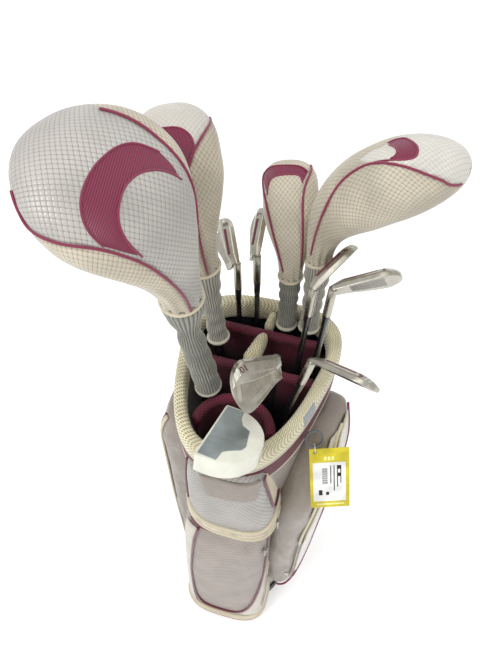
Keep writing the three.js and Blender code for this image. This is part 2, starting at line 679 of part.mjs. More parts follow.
// Built in the tag's frame: +X across, +Y up the tag, +Z out of it, from its top left corner.
function buildTag() {
  const frame = tagFrame();
  golfSet.add(frame);
  const card = new THREE.Shape([[0, 0], [0, -TAG.height], [TAG.width, -TAG.height], [TAG.width, 0]]
    .map(([x, y]) => new THREE.Vector2(x, y)));
  const hole = new THREE.Path();
  hole.absarc(TAG.hole[0], -TAG.hole[1], TAG.holeRadius, 0, 2 * Math.PI, true);
  card.holes.push(hole);
  const plate = new THREE.ExtrudeGeometry(card, { depth: TAG.thickness, bevelEnabled: false, curveSegments: 4 });
  addMesh(frame, 'hang_tag', plate, FINISH.card);
  const tie = new THREE.TorusGeometry(TIE.radius, TIE.wire, 6, 20);
  tie.rotateY(Math.PI / 2);
  const tieHeight = TIE.radius - TAG.hole[1];
  tie.translate(TAG.hole[0], tieHeight, TAG.thickness / 2);
  addMesh(frame, 'tag_tie', tie, FINISH.nylon);
  const contact = tieHeight + TIE.radius - TIE.wire - RING.wire - GAP;
  const ring = new THREE.TorusGeometry(RING.radius, RING.wire, 8, 24);
  ring.translate(TAG.hole[0], contact + RING.radius, TAG.thickness / 2);
  addMesh(frame, 'towel_ring', ring, FINISH.moulded);
}

// Each pull hangs from at, flat on a pocket whose face looks toward compass degrees from +X.
const PULL = { length: 30, top: 8, bottom: 11, thickness: 2.4, eye: 2.6 };
const PULLS = [
  { name: 'upper_zip_pull', at: [89.2, -141, 606], compass: 0 },
  { name: 'lower_zip_pull', at: [73.8, -152.8, 480], compass: -19 },
  { name: 'side_zip_pull', at: [120.5, -136.6, 322], compass: -77 },
];

function pullGeometry() {
  const { length, top, bottom, thickness, eye } = PULL;
  const tab = new THREE.Shape([[-top / 2, 0], [-bottom / 2, 4 - length], [-bottom / 2 + 3, -length],
    [bottom / 2 - 3, -length], [bottom / 2, 4 - length], [top / 2, 0]].map(([x, y]) => new THREE.Vector2(x, y)));
  const hole = new THREE.Path();
  hole.absarc(0, 7 - length, eye, 0, 2 * Math.PI, true);
  tab.holes.push(hole);
  const plate = new THREE.ExtrudeGeometry(tab, { depth: thickness, bevelEnabled: false, curveSegments: 4 });
  return plate.rotateX(Math.PI / 2).rotateZ(Math.PI / 2);
}

function buildPulls() {
  PULLS.forEach(({ name, at, compass }) => {
    const mount = new THREE.Group();
    mount.position.set(...at);
    mount.rotation.z = compass * DEG;
    golfSet.add(mount);
    addMesh(mount, name, pullGeometry(), FINISH.zinc);
  });
}

// ---- assembly -----------------------------------------------------------------------------

buildBag();
CLUBS.forEach(buildClub);
COVERS.forEach(buildCover);
buildTag();
buildPulls();

export default golfSet;
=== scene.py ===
"""A golf club set: a cart bag that holds eleven clubs, four of them under padded headcovers.

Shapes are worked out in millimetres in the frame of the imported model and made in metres.
"""

import json
import math

import bpy
import numpy as np
from mathutils import Matrix, Vector


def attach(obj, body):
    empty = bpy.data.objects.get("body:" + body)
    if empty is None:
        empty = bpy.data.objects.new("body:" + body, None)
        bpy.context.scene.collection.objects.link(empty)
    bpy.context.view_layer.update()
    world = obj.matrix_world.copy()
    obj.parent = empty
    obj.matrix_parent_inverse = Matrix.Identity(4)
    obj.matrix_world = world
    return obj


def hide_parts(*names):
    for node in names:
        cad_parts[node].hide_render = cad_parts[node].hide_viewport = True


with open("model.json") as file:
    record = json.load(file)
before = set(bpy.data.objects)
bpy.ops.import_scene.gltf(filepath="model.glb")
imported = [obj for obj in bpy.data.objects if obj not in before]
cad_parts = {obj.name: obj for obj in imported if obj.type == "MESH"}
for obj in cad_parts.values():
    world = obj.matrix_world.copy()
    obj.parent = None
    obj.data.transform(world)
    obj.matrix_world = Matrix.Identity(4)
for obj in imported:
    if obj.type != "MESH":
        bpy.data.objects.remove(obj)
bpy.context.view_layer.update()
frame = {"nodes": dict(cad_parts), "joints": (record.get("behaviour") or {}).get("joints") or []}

# ---- driving dimensions, in millimetres and degrees ----------------------------------------

MM = 0.001
DEG = math.pi / 180
RIM = dict(height=816, tilt=0.094, half_width=125, half_depth=158, widen=0.3, skew=6)
BASE = dict(half_width=108, half_depth=124, widen=0.06, skew=0)
POWER = 2.9                      # the outline's squareness
CUFF = dict(thickness=23, height=44, rise=14)
WALL = dict(thickness=4, inset=6, foot=12.4)
WALL_TOP = CUFF["height"] - CUFF["rise"] + 0.4
BAR = dict(radius=8, panel=2.4, rear_y=92, front_y=16, slope=-0.035, drop=10, end_gap=5.6, narrow=0.00028)
TRAY_TOP = 36.8                  # below this a pocket also clears the base tray
TRAY_LIP = 6.6
PANEL_DEPTH = dict(rear=230, front=230, arch=170)
ARCH = dict(x=-3, y=-97, half_width=60, height=54, start=3, sweep=174)
CENTRE_PAD = dict(rise=10, depth=34)
HOSEL = dict(radius=6.6, length=58)
FOOT_HEIGHT = 15                 # a grip's end above the floor

CLUBS = {
    "driver": dict(kind="wood", toe=158, lie=58, loft=12, size=(100, 96, 52)),
    "wood3": dict(kind="wood", toe=110, lie=58, loft=16, size=(82, 72, 38)),
    "hybrid": dict(kind="wood", toe=104, lie=60, loft=22, size=(66, 44, 30)),
    "wood5": dict(kind="wood", toe=-6, lie=59, loft=19, size=(76, 64, 36)),
    "iron5": dict(kind="iron", toe=12, lie=63, loft=27, number="5"),
    "iron6": dict(kind="iron", toe=53, lie=62, loft=30, number="6"),
    "iron7": dict(kind="iron", toe=92, lie=62, loft=33, number="7"),
    "iron8": dict(kind="iron", toe=114, lie=63, loft=37, number="8"),
    "iron9": dict(kind="iron", toe=-30, lie=63, loft=41, number="9"),
    "wedge": dict(kind="wedge", toe=224, lie=63, loft=54, number="10"),
    "putter": dict(kind="putter", toe=262, lie=71, loft=3),
}
IRON = dict(length=90, heel_height=27, toe_height=56, sole=19, topline=6, cavity=6.5, lead=6)
WEDGE = dict(length=86, heel_height=34, toe_height=76, sole=23, topline=5, cavity=4, lead=6)
MALLET = dict(width=104, depth=74, height=26, heel=22, front=6, corner=10, edge=2)
DOME = dict(toward=0.36, back=0.2)
# The putter's stepped metal plate on its sole: (along the toe, out of the face).
INSERT = [(-19, 3), (-19, -22), (-6, -23), (7, -31), (12, -43), (40, -49), (48, -46), (57, -31), (62, -25),
          (78, -23),
          (78, 3)]

COVERS = {
    "driver": dict(bend=14, neck=150, reach=104, half_width=92, half_thickness=42, neck_radius=27,
                   close=0.66, square=2.0),
    "wood3": dict(bend=14, neck=140, reach=86, half_width=58, half_thickness=38, neck_radius=23,
                  close=0.72, square=2.3),
    "hybrid": dict(bend=10, neck=108, reach=70, half_width=42, half_thickness=31, neck_radius=18,
                   close=0.80, square=2.8),
    "wood5": dict(bend=18, neck=112, reach=148, half_width=52, half_thickness=49, neck_radius=19,
                  close=0.70, square=2.1),
}

# A cover's trim is drawn on its skin: t runs from the neck to the far end, and the angle is 270 on
# the decorated side.
CRESCENTS = {
    "driver": ([(.604, 298), (.662, 290), (.691, 282), (.705, 270), (.683, 254), (.647, 240), (.583, 230),
                (.511, 228)],
               [(.489, 304), (.547, 292), (.583, 282), (.604, 272), (.59, 264), (.547, 252), (.482, 244),
                (.396, 242)]),
    "wood3": ([(.777, 250), (.777, 266), (.763, 278), (.727, 288), (.676, 292), (.626, 286), (.561, 278)],
              [(.698, 264), (.683, 272), (.647, 276), (.604, 278), (.568, 278)]),
    "hybrid": ([(.885, 190), (.906, 216), (.885, 252), (.878, 284), (.835, 300)],
               [(.691, 214), (.784, 222), (.806, 240), (.806, 268), (.799, 282), (.748, 286)]),
    "wood5": ([(.748, 270), (.777, 266), (.813, 268), (.849, 286), (.849, 308), (.82, 312), (.777, 308),
               (.727, 302), (.662, 300)],
              [(.755, 274), (.784, 286), (.784, 300), (.763, 304)]),
}
PIPING = {
    "driver": [[(.849, 190), (.77, 178), (.705, 180), (.633, 194), (.561, 214), (.504, 226), (.424, 234),
                (.331, 240), (.223, 240), (.108, 246), (.01, 248)],
               [(.842, 300), (.763, 304), (.712, 306), (.655, 308), (.561, 312), (.468, 322), (.381, 330),
                (.302, 324)]],
    "wood3": [[(.856, 342), (.827, 338), (.748, 314), (.683, 298), (.64, 288), (.59, 282), (.561, 278),
               (.3, 282), (.02, 284)]],
    "hybrid": [[(.899, 196), (.806, 188), (.619, 212), (.482, 220), (.331, 220), (.201, 220), (.101, 228)],
               [(.928, 322), (.791, 300), (.698, 286), (.54, 284), (.367, 292), (.129, 316)]],
    "wood5": [[(.086, 334), (.252, 342), (.432, 330), (.525, 314), (.59, 304), (.647, 300), (.698, 300),
               (.763, 312), (.827, 326), (.878, 344), (.935, 362), (.971, 386)]],
}
# The top panels are bounded by the piping and closed by a few points of their own.
PANELS = {
    "driver": [(.999, 340), (.999, 150), (.93, 170), *PIPING["driver"][0], (.01, 300),
               *PIPING["driver"][1][::-1]],
    "wood3": [(.995, 200), (.995, 350), *PIPING["wood3"][0][:7], (.64, 250), (.75, 200)],
    "hybrid": [*PIPING["hybrid"][0], *PIPING["hybrid"][1][::-1]],
    "wood5": [(.647, 284), (.698, 274), (.741, 272), (.86, 230), (.99, 200), (.99, 400),
              *PIPING["wood5"][0][:5:-1]],
}
# A knit sock: (share of its height from the neck down, radius, sideways shift toward the camera's left)
SOCKS = {
    "driver": [(0, 27, 0), (.06, 29, 0), (.14, 26, 1), (.24, 17, 3), (.34, 16, 4), (.46, 18, 3), (.6, 18, 2),
               (.7, 20, 1), (.82, 19, 0), (.93, 20, 0), (1, 19, 0)],
    "wood3": [(0, 23, 0), (.1, 22, 0), (.35, 16, 0), (.6, 14, 0), (.84, 15, 0), (1, 17, 0)],
    "hybrid": [(0, 18, 0), (.15, 17, 0), (.5, 14, 0), (.85, 15, 0), (1, 16, 0)],
    "wood5": [(0, 19, 0), (.12, 20, 0), (.4, 16, 0), (.75, 14, 0), (1, 16, 0)],
}
LEFTWARD = np.array([-0.97, -0.26, 0.0])
KNIT = dict(ribs=28, rib_height=0.8, wall=2.6, least_radius=10.2)
HEM = {"driver": 806, "wood3": 816, "hybrid": 806, "wood5": 816}

POCKETS = {                      # (z, x, y, half width, half depth)
    "lower_front_pocket": [(0, -20, -128, 98, 60), (8, -20, -128, 102, 64), (300, -16, -124, 92, 60),
                           (500, -10, -124, 84, 54), (566, -4, -124, 76, 46)],
    "upper_front_pocket": [(570, 6, -122, 74, 54), (578, 8, -122, 80, 60), (640, 4, -124, 76, 56),
                           (720, -2, -124, 68, 46), (762, -2, -124, 62, 40)],
    "left_side_pocket": [(60, -118, 2, 34, 70), (90, -120, 2, 42, 78), (400, -122, 2, 42, 80),
                         (660, -120, 2, 42, 76), (730, -112, 2, 30, 62)],
    "right_side_pocket": [(196, 118, -34, 36, 98), (216, 120, -34, 42, 104), (420, 124, -32, 44, 104),
                          (610, 130, -26, 44, 102), (690, 134, -2, 40, 74), (740, 134, 16, 28, 48)],
}
POCKET_TURN = {"right_side_pocket": -16}


# ---- number helpers ------------------------------------------------------------------------

def unit(v):
    return v / np.linalg.norm(v, axis=-1, keepdims=True)


def smoothstep(x, low, high):
    s = np.clip((np.asarray(x, float) - low) / (high - low), 0, 1)
    return s * s * (3 - 2 * s)


def signed_power(value, power):
    return np.sign(value) * np.abs(value) ** power


def smooth_path(points, per=8):
    """A Catmull-Rom curve through the points."""
    p = np.array(points, float)
    p = np.vstack([2 * p[0] - p[1], p, 2 * p[-1] - p[-2]])
    s = np.linspace(0, 1, per, endpoint=False)[:, None]
    out = []
    for a, b, c, d in zip(p, p[1:], p[2:], p[3:]):
        out.append(0.5 * (2 * b + (c - a) * s + (2 * a - 5 * b + 4 * c - d) * s ** 2
                          + (3 * b - a - 3 * c + d) * s ** 3))
    return np.vstack(out + [p[-2][None]])


def eased(path, rounds=30):
    """The same path with its small wobbles smoothed away and its ends kept."""
    path = np.array(path, float)
    for _ in range(rounds):
        path[1:-1] = (path[:-2] + 2 * path[1:-1] + path[2:]) / 4
    return path


def inside_distance(points, polygon):
    """How far each 2-D point lies inside a closed polygon, negative outside."""
    a = polygon
    b = np.roll(polygon, -1, axis=0)
    along = b - a
    offset = points[:, None, :] - a[None]
    share = np.clip((offset * along).sum(-1) / np.maximum((along ** 2).sum(-1), 1e-9), 0, 1)
    gap = np.linalg.norm(offset - share[..., None] * along, axis=-1).min(axis=1)
    crosses = (a[:, 1] > points[:, None, 1]) != (b[:, 1] > points[:, None, 1])
    slope = along[:, 0] / np.where(along[:, 1] == 0, 1e-9, along[:, 1])
    hit = a[:, 0] + (points[:, None, 1] - a[:, 1]) * slope > points[:, None, 0]
    inside = (crosses & hit).sum(axis=1) % 2 == 1
    return np.where(inside, gap, -gap)


def ripple(x, y, seed):
    """A smooth pseudo-random field made of a few sines, about -1 to 1."""
    total = 0
    for k in range(5):
        turn = seed * 1.7 + k * 2.1
        scale = 1 + 0.55 * k
        along = (x * math.cos(turn) + y * math.sin(turn)) * scale
        total = total + np.sin(along + seed * (k + 3)) / (1 + 0.5 * k)
    return total / 2.6


# ---- mesh helpers --------------------------------------------------------------------------

def make(name, points, faces, material, body, slot, uvs=None, fields=None, replaces=(), fill=None,
         smooth=True):
    """A mesh piece from points in millimetres. uvs holds one (u, v) in metres for each face corner."""
    mesh = bpy.data.meshes.new(name)
    mesh.from_pydata((np.asarray(points, float) * MM).tolist(), [], [tuple(map(int, f)) for f in faces])
    if uvs is not None:
        layer = mesh.uv_layers.new(name="UVMap")
        layer.data.foreach_set("uv", np.asarray(uvs, np.float32).ravel())
    for field, values in (fields or {}).items():
        mesh.attributes.new(field, "FLOAT", "POINT").data.foreach_set("value", np.asarray(values, np.float32))
    if smooth:
        mesh.shade_smooth()
    mesh.update()
    piece = bpy.data.objects.new(name, mesh)
    bpy.context.scene.collection.objects.link(piece)
    piece.data.materials.append(material)
    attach(piece, body)
    if replaces:
        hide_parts(*replaces)
    return piece


def loft(rings, looped=False, caps=(True, True)):
    """Faces and face-corner UVs over rings of points. A looped loft closes on its first ring."""
    rings = np.asarray(rings, float)
    rows, count = rings.shape[:2]
    closed = np.concatenate([rings, rings[:, :1]], axis=1)
    around = np.concatenate([np.zeros((rows, 1)),
                             np.linalg.norm(np.diff(closed, axis=1), axis=-1).cumsum(1)], 1)
    around = around - around[:, count // 2][:, None]
    steps = np.linalg.norm(np.diff(rings, axis=0), axis=-1).mean(axis=1)
    last = np.linalg.norm(rings[0] - rings[-1], axis=-1).mean()
    along = np.concatenate([[0], np.append(steps, last).cumsum()])
    points = rings.reshape(-1, 3)
    faces, uvs = [], []
    for i in range(rows if looped else rows - 1):
        n = (i + 1) % rows
        for j in range(count):
            k = (j + 1) % count
            faces.append((i * count + j, i * count + k, n * count + k, n * count + j))
            uvs += [(around[i, j], along[i]), (around[i, j + 1], along[i]),
                    (around[n, j + 1], along[i + 1]), (around[n, j], along[i + 1])]
    if not looped:
        for row, wanted, flip in ((0, caps[0], True), (rows - 1, caps[1], False)):
            if not wanted:
                continue
            hub = len(points)
            points = np.vstack([points, rings[row].mean(axis=0)])
            for j in range(count):
                a, b = row * count + j, row * count + (j + 1) % count
                faces.append((hub, b, a) if flip else (hub, a, b))
                uvs += [(around[row, j], along[row])] * 3
    return points, faces, np.asarray(uvs) * MM


def outward(points, faces, uvs):
    """The same faces, turned round if they look inward."""
    p = np.asarray(points)
    corners = np.array([(f[0], b, c) for f in faces for b, c in zip(f[1:], f[2:])])
    volume = (p[corners[:, 0]] * np.cross(p[corners[:, 1]], p[corners[:, 2]])).sum()
    if volume >= 0:
        return points, faces, uvs
    turned, corner, moved = [], 0, []
    for f in faces:
        turned.append(tuple(reversed(f)))
        moved.append(uvs[corner:corner + len(f)][::-1])
        corner += len(f)
    return points, turned, np.concatenate(moved)


def loft_piece(name, rings, material, body, slot, looped=False, caps=(True, True), **more):
    points, faces, uvs = outward(*loft(rings, looped, caps))
    return make(name, points, faces, material, body, slot, uvs=uvs, **more)


def tube_rings(path, radius, corners=10, closed=False):
    """Rings round a path, with a frame carried along it."""
    path = np.asarray(path, float)
    ahead = np.roll(path, -1, axis=0) - np.roll(path, 1, axis=0)
    if not closed:
        ahead[0], ahead[-1] = path[1] - path[0], path[-1] - path[-2]
    ahead = unit(ahead)
    start = np.array([0, 0, 1.0]) if abs(ahead[0][2]) < 0.9 else np.array([1.0, 0, 0])
    side = unit(np.cross(ahead[0], start))
    angles = np.linspace(0, 2 * math.pi, corners, endpoint=False)
    rings = []
    for centre, way in zip(path, ahead):
        side = unit(side - way * side.dot(way))
        other = np.cross(way, side)
        rings.append(centre + radius * (np.cos(angles)[:, None] * side + np.sin(angles)[:, None] * other))
    return rings


def tube(name, path, radius, material, body, slot, closed=False, corners=10, **more):
    return loft_piece(name, tube_rings(path, radius, corners, closed), material, body, slot, looped=closed,
                      **more)


def merged(parts):
    """Several (points, faces, uvs) as one."""
    points, faces, uvs, start = [], [], [], 0
    for p, f, u in parts:
        points.append(p)
        faces += [tuple(i + start for i in face) for face in f]
        uvs.append(u)
        start += len(p)
    return np.vstack(points), faces, np.vstack(uvs)


def ribbon(grid, thickness, lift=0.0):
    """A thin closed strip over a grid of points (rows, columns, 3), raised along its own normals."""
    grid = np.asarray(grid, float)
    du = np.gradient(grid, axis=1)
    dv = np.gradient(grid, axis=0)
    normal = unit(np.cross(du, dv))
    top = grid + normal * (lift + thickness)
    low = grid + normal * lift
    rings = []
    for a, b in zip(top, low):
        rings.append(np.vstack([a, b[::-1]]))
    return outward(*loft(rings))


# ---- materials -----------------------------------------------------------------------------

def rgb(red, green, blue):
    """A display colour from 0 to 255 as linear RGBA."""
    linear = [((c / 255 + 0.055) / 1.055) ** 2.4 if c > 10 else c / 3294 for c in (red, green, blue)]
    return tuple(linear) + (1.0,)


def shade(colour, share):
    """The display colour scaled by a share, as linear RGBA."""
    return rgb(*[c * share for c in colour])


class Finish:
    """A Principled material and short ways to add its nodes."""

    def __init__(self, name, colour, roughness=0.6, metallic=0.0, **sockets):
        self.material = bpy.data.materials.new(name)
        self.material.use_nodes = True
        self.tree = self.material.node_tree
        self.shader = self.tree.nodes["Principled BSDF"]
        self.set("Base Color", rgb(*colour))
        self.set("Roughness", roughness)
        self.set("Metallic", metallic)
        for socket, value in sockets.items():
            self.set(socket.replace("_", " "), value)

    def set(self, socket, value):
        self.shader.inputs[socket].default_value = value

    def node(self, kind, **settings):
        made = self.tree.nodes.new(kind)
        for key, value in settings.items():
            setattr(made, key, value)
        return made

    def feed(self, socket, value):
        if isinstance(value, bpy.types.NodeSocket):
            self.tree.links.new(value, socket)
        else:
            socket.default_value = value

    def math(self, operation, a, b=0.0, c=0.0):
        made = self.node("ShaderNodeMath", operation=operation)
        for socket, value in zip(made.inputs, (a, b, c)):
            self.feed(socket, value)
        return made.outputs[0]

    def ramp(self, value, low, high, to_low=0.0, to_high=1.0):
        made = self.node("ShaderNodeMapRange")
        made.interpolation_type = "SMOOTHSTEP"
        for socket, number in zip(made.inputs, (value, low, high, to_low, to_high)):
            self.feed(socket, number)
        return made.outputs[0]

    def mix(self, share, a, b):
        made = self.node("ShaderNodeMix", data_type="RGBA")
        self.feed(made.inputs[0], share)
        self.feed(made.inputs[6], a)
        self.feed(made.inputs[7], b)
        return made.outputs[2]

    def field(self, name):
        return self.node("ShaderNodeAttribute", attribute_name=name).outputs["Fac"]

    def place(self, on_uv=True):
        made = self.node("ShaderNodeTexCoord")
        return made.outputs["UV" if on_uv else "Object"]

    def axes(self, vector):
        made = self.node("ShaderNodeSeparateXYZ")
        self.feed(made.inputs[0], vector)
        return made.outputs

    def stretched(self, vector, scale):
        made = self.node("ShaderNodeMapping")
        self.feed(made.inputs["Vector"], vector)
        made.inputs["Scale"].default_value = scale
        return made.outputs[0]

    def noise(self, vector, scale, detail=3.0, roughness=0.55, distortion=0.0):
        made = self.node("ShaderNodeTexNoise")
        self.feed(made.inputs["Vector"], vector)
        for socket, value in (("Scale", scale), ("Detail", detail), ("Roughness", roughness),
                              ("Distortion", distortion)):
            made.inputs[socket].default_value = value
        return made.outputs["Fac"]

    def wave(self, value, pitch):
        """From 0 to 1: the absolute sine of a length in metres, one hump for each pitch."""
        turned = self.math("MULTIPLY", value, math.pi / pitch)
        return self.math("ABSOLUTE", self.math("SINE", turned))

    def diamonds(self, cell, squash=1.0):
        """Humps in a diamond grid on the UVs, near 0 along the grid's lines."""
        u, v, _ = self.axes(self.place())
        v = self.math("MULTIPLY", v, squash)
        return self.math("MULTIPLY", self.wave(self.math("ADD", u, v), cell),
                         self.wave(self.math("SUBTRACT", u, v), cell))

    def weave(self, thread, on_uv=True):
        """A plain weave's height on the UVs, or on the object's own X and Z."""
        x, y, z = self.axes(self.place(on_uv))
        v = y if on_uv else z
        return self.math("ADD", self.math("MULTIPLY", self.wave(x, thread), 0.5),
                         self.math("MULTIPLY", self.wave(v, thread), 0.5))

    def bump(self, height, distance, strength=1.0, normal=None):
        made = self.node("ShaderNodeBump")
        made.inputs["Strength"].default_value = strength
        made.inputs["Distance"].default_value = distance
        self.feed(made.inputs["Height"], height)
        if normal is not None:
            self.feed(made.inputs["Normal"], normal)
        return made.outputs[0]

    def colour(self, value):
        self.feed(self.shader.inputs["Base Color"], value)
        return self

    def roughen(self, value):
        self.feed(self.shader.inputs["Roughness"], value)
        return self

    def normal(self, value):
        self.feed(self.shader.inputs["Normal"], value)
        return self


def mottled(f, colour, spread, scale, on_uv=False):
    """A colour that wanders a little over the surface."""
    darker = shade(colour, 1 - spread)
    lighter = rgb(*[min(255, c * (1 + spread)) for c in colour])
    return f.mix(f.ramp(f.noise(f.place(on_uv), scale), 0.3, 0.7), darker, lighter)


def satin_cloth(name, colour, sheen=0.2, wrinkle=0.0006, roughness=0.42, spread=0.03):
    """Coated bag cloth: a fine weave, soft wrinkles and a silky shine."""
    f = Finish(name, colour, roughness, Sheen_Weight=sheen, Sheen_Roughness=0.4)
    f.set("Specular IOR Level", 0.6)
    folds = f.noise(f.stretched(f.place(False), (1, 1, 0.45)), 26, 4, 0.6, 0.6)
    weave = f.weave(0.0009)
    f.colour(mottled(f, colour, spread, 14))
    f.roughen(f.ramp(f.noise(f.place(False), 40), 0.3, 0.7, roughness - 0.06, roughness + 0.1))
    f.normal(f.bump(weave, 0.00012, 0.5, f.bump(folds, wrinkle * 6, 0.55)))
    return f.material


def embossed_cloth(name, colour, line, cell, depth=0.0007, roughness=0.45, metallic=0.1):
    """Cloth pressed into small diamonds, with painted shade in the grooves between them."""
    f = Finish(name, colour, roughness, metallic, Sheen_Weight=0.3, Sheen_Roughness=0.4)
    hump = f.math("POWER", f.diamonds(cell), 0.5)
    raised = f.ramp(hump, 0.05, 0.45)
    # The darker line colour in the grooves is painted shade.
    f.colour(f.mix(raised, rgb(*line), mottled(f, colour, 0.06, 18)))
    f.normal(f.bump(hump, depth, 0.9))
    return f.material


def open_mesh(name, colour, opening_shade, cell, depth=0.0008, roughness=0.75):
    """A spacer mesh: threads round small openings, the openings painted dark as shade."""
    f = Finish(name, colour, roughness, Sheen_Weight=0.4, Sheen_Roughness=0.5)
    gap = f.diamonds(cell, 0.8)
    opening = f.ramp(gap, 0.35, 0.75)
    fine = f.noise(f.place(False), 900, 2)
    # The openings take a darker colour: painted shade in them.
    f.colour(f.mix(opening, mottled(f, colour, 0.07, 20), rgb(*opening_shade)))
    height = f.math("SUBTRACT", f.math("MULTIPLY", fine, 0.25), opening)
    f.normal(f.bump(height, depth, 0.9))
    return f.material


def knit_cloth(name, colour):
    """Knit: the ribs are in the mesh, and the stitches are here. Painted shade darkens the ribs' valleys and
    the dips between stitches.
    """
    f = Finish(name, colour, 0.95, Sheen_Weight=0.5, Sheen_Roughness=0.6)
    u, v, _ = f.axes(f.place())
    chevron = f.math("ADD", v, f.math("MULTIPLY", f.wave(u, 0.004), 0.0014))
    stitch = f.wave(chevron, 0.0022)
    fuzz = f.noise(f.place(False), 1200, 2)
    # Painted shade: the stitches darken where they dip.
    knit = f.mix(f.ramp(stitch, 0.1, 0.7), shade(colour, 0.7), mottled(f, colour, 0.08, 30))
    # Painted shade: the rib valleys darken to half the colour.
    f.colour(f.mix(f.ramp(f.field("rib"), -0.9, 0.4), shade(colour, 0.5), knit))
    f.normal(f.bump(fuzz, 0.0003, 0.5, f.bump(stitch, 0.0007, 0.8)))
    return f.material


def piping_cloth(name, colour):
    f = Finish(name, colour, 0.5, Sheen_Weight=0.5, Sheen_Roughness=0.4)
    u, v, _ = f.axes(f.place())
    twill = f.wave(f.math("ADD", u, v), 0.0011)
    # Painted shade: the twill's low lines are darker.
    f.colour(f.mix(f.ramp(twill, 0.0, 0.6), shade(colour, 0.7), rgb(*colour)))
    f.normal(f.bump(twill, 0.00025, 0.7))
    return f.material


def moulded_plastic(name, colour, roughness=0.55, grain=0.00006):
    f = Finish(name, colour, roughness)
    speckle = f.noise(f.place(False), 900, 3)
    f.colour(mottled(f, colour, 0.1, 30))
    f.roughen(f.ramp(f.noise(f.place(False), 60), 0.3, 0.7, roughness - 0.08, roughness + 0.1))
    f.normal(f.bump(speckle, grain, 0.8))
    return f.material


def brushed_metal(name, colour, roughness=0.28, along=(1, 1, 1), metallic=1.0):
    """Satin metal with fine streaks and a little wear."""
    f = Finish(name, colour, roughness, metallic, Anisotropic=0.35)
    streaks = f.noise(f.stretched(f.place(False), tuple(900 / max(a, 0.02) / 10 for a in along)), 1.0, 4)
    smudge = f.noise(f.place(False), 45, 4)
    f.colour(f.mix(f.ramp(streaks, 0.35, 0.65), shade(colour, 0.94), rgb(*colour)))
    f.roughen(f.ramp(smudge, 0.3, 0.75, roughness - 0.05, roughness + 0.12))
    f.normal(f.bump(streaks, 0.00006, 0.5))
    return f.material


def lacquer(name, colour, roughness=0.22, coat=0.6):
    """Painted metal under clear lacquer, with faint orange peel."""
    f = Finish(name, colour, roughness, Coat_Weight=coat, Coat_Roughness=0.08)
    peel = f.noise(f.place(False), 350, 2)
    f.colour(mottled(f, colour, 0.04, 25))
    f.roughen(f.ramp(f.noise(f.place(False), 70), 0.3, 0.7, roughness - 0.04, roughness + 0.08))
    f.normal(f.bump(peel, 0.00004, 0.5))
    return f.material


def rubber_grip(name):
    """Rubber with rows of small diamonds pressed in, the pressed lines painted darker as shade."""
    f = Finish(name, (30, 30, 32), 0.85)
    x, y, z = f.axes(f.place(False))
    around = f.math("MULTIPLY", f.math("ARCTAN2", x, y), 0.011)
    a = f.wave(f.math("ADD", around, z), 0.004)
    b = f.wave(f.math("SUBTRACT", around, z), 0.004)
    press = f.math("MULTIPLY", a, b)
    # Painted shade: the pressed lines are darker.
    f.colour(f.mix(f.ramp(press, 0.1, 0.6), rgb(14, 14, 15), rgb(38, 38, 41)))
    f.normal(f.bump(press, 0.0005, 0.7))
    return f.material


def cover_cloth(name, dimple, panel, panel_groove_shade, crescent, cell):
    """A headcover's skin: pressed cloth, a top panel and a ribbed crescent, told apart by two fields. The
    grooves and the troughs between the ribs are painted darker as shade.
    """
    f = Finish(name, dimple, 0.45, 0.05, Sheen_Weight=0.35, Sheen_Roughness=0.35)
    f.set("Specular IOR Level", 0.55)
    hump = f.math("POWER", f.diamonds(cell), 0.5)
    in_panel = f.ramp(f.field("panel"), -0.4, 0.4)
    in_crescent = f.ramp(f.field("crescent"), -0.4, 0.4)
    # Painted shade in the pressed grooves of the plain cloth and the top panel, and between the crescent's
    # ribs.
    plain = f.mix(f.ramp(hump, 0.05, 0.55), shade(dimple, 0.74), mottled(f, dimple, 0.07, 16))
    top = f.mix(f.ramp(hump, 0.05, 0.55), rgb(*panel_groove_shade), mottled(f, panel, 0.05, 16))
    u, v, _ = f.axes(f.place())
    rib = f.wave(f.math("ADD", v, f.math("MULTIPLY", u, 0.4)), 0.0021)
    band = f.mix(rib, shade(crescent, 0.74), rgb(*crescent))
    f.colour(f.mix(in_crescent, f.mix(in_panel, plain, top), band))
    f.roughen(f.mix(in_panel, (0.5,) * 3 + (1,), (0.36,) * 3 + (1,)))
    f.normal(f.bump(f.mix(in_crescent, hump, rib), 0.0007, 0.8))
    return f.material


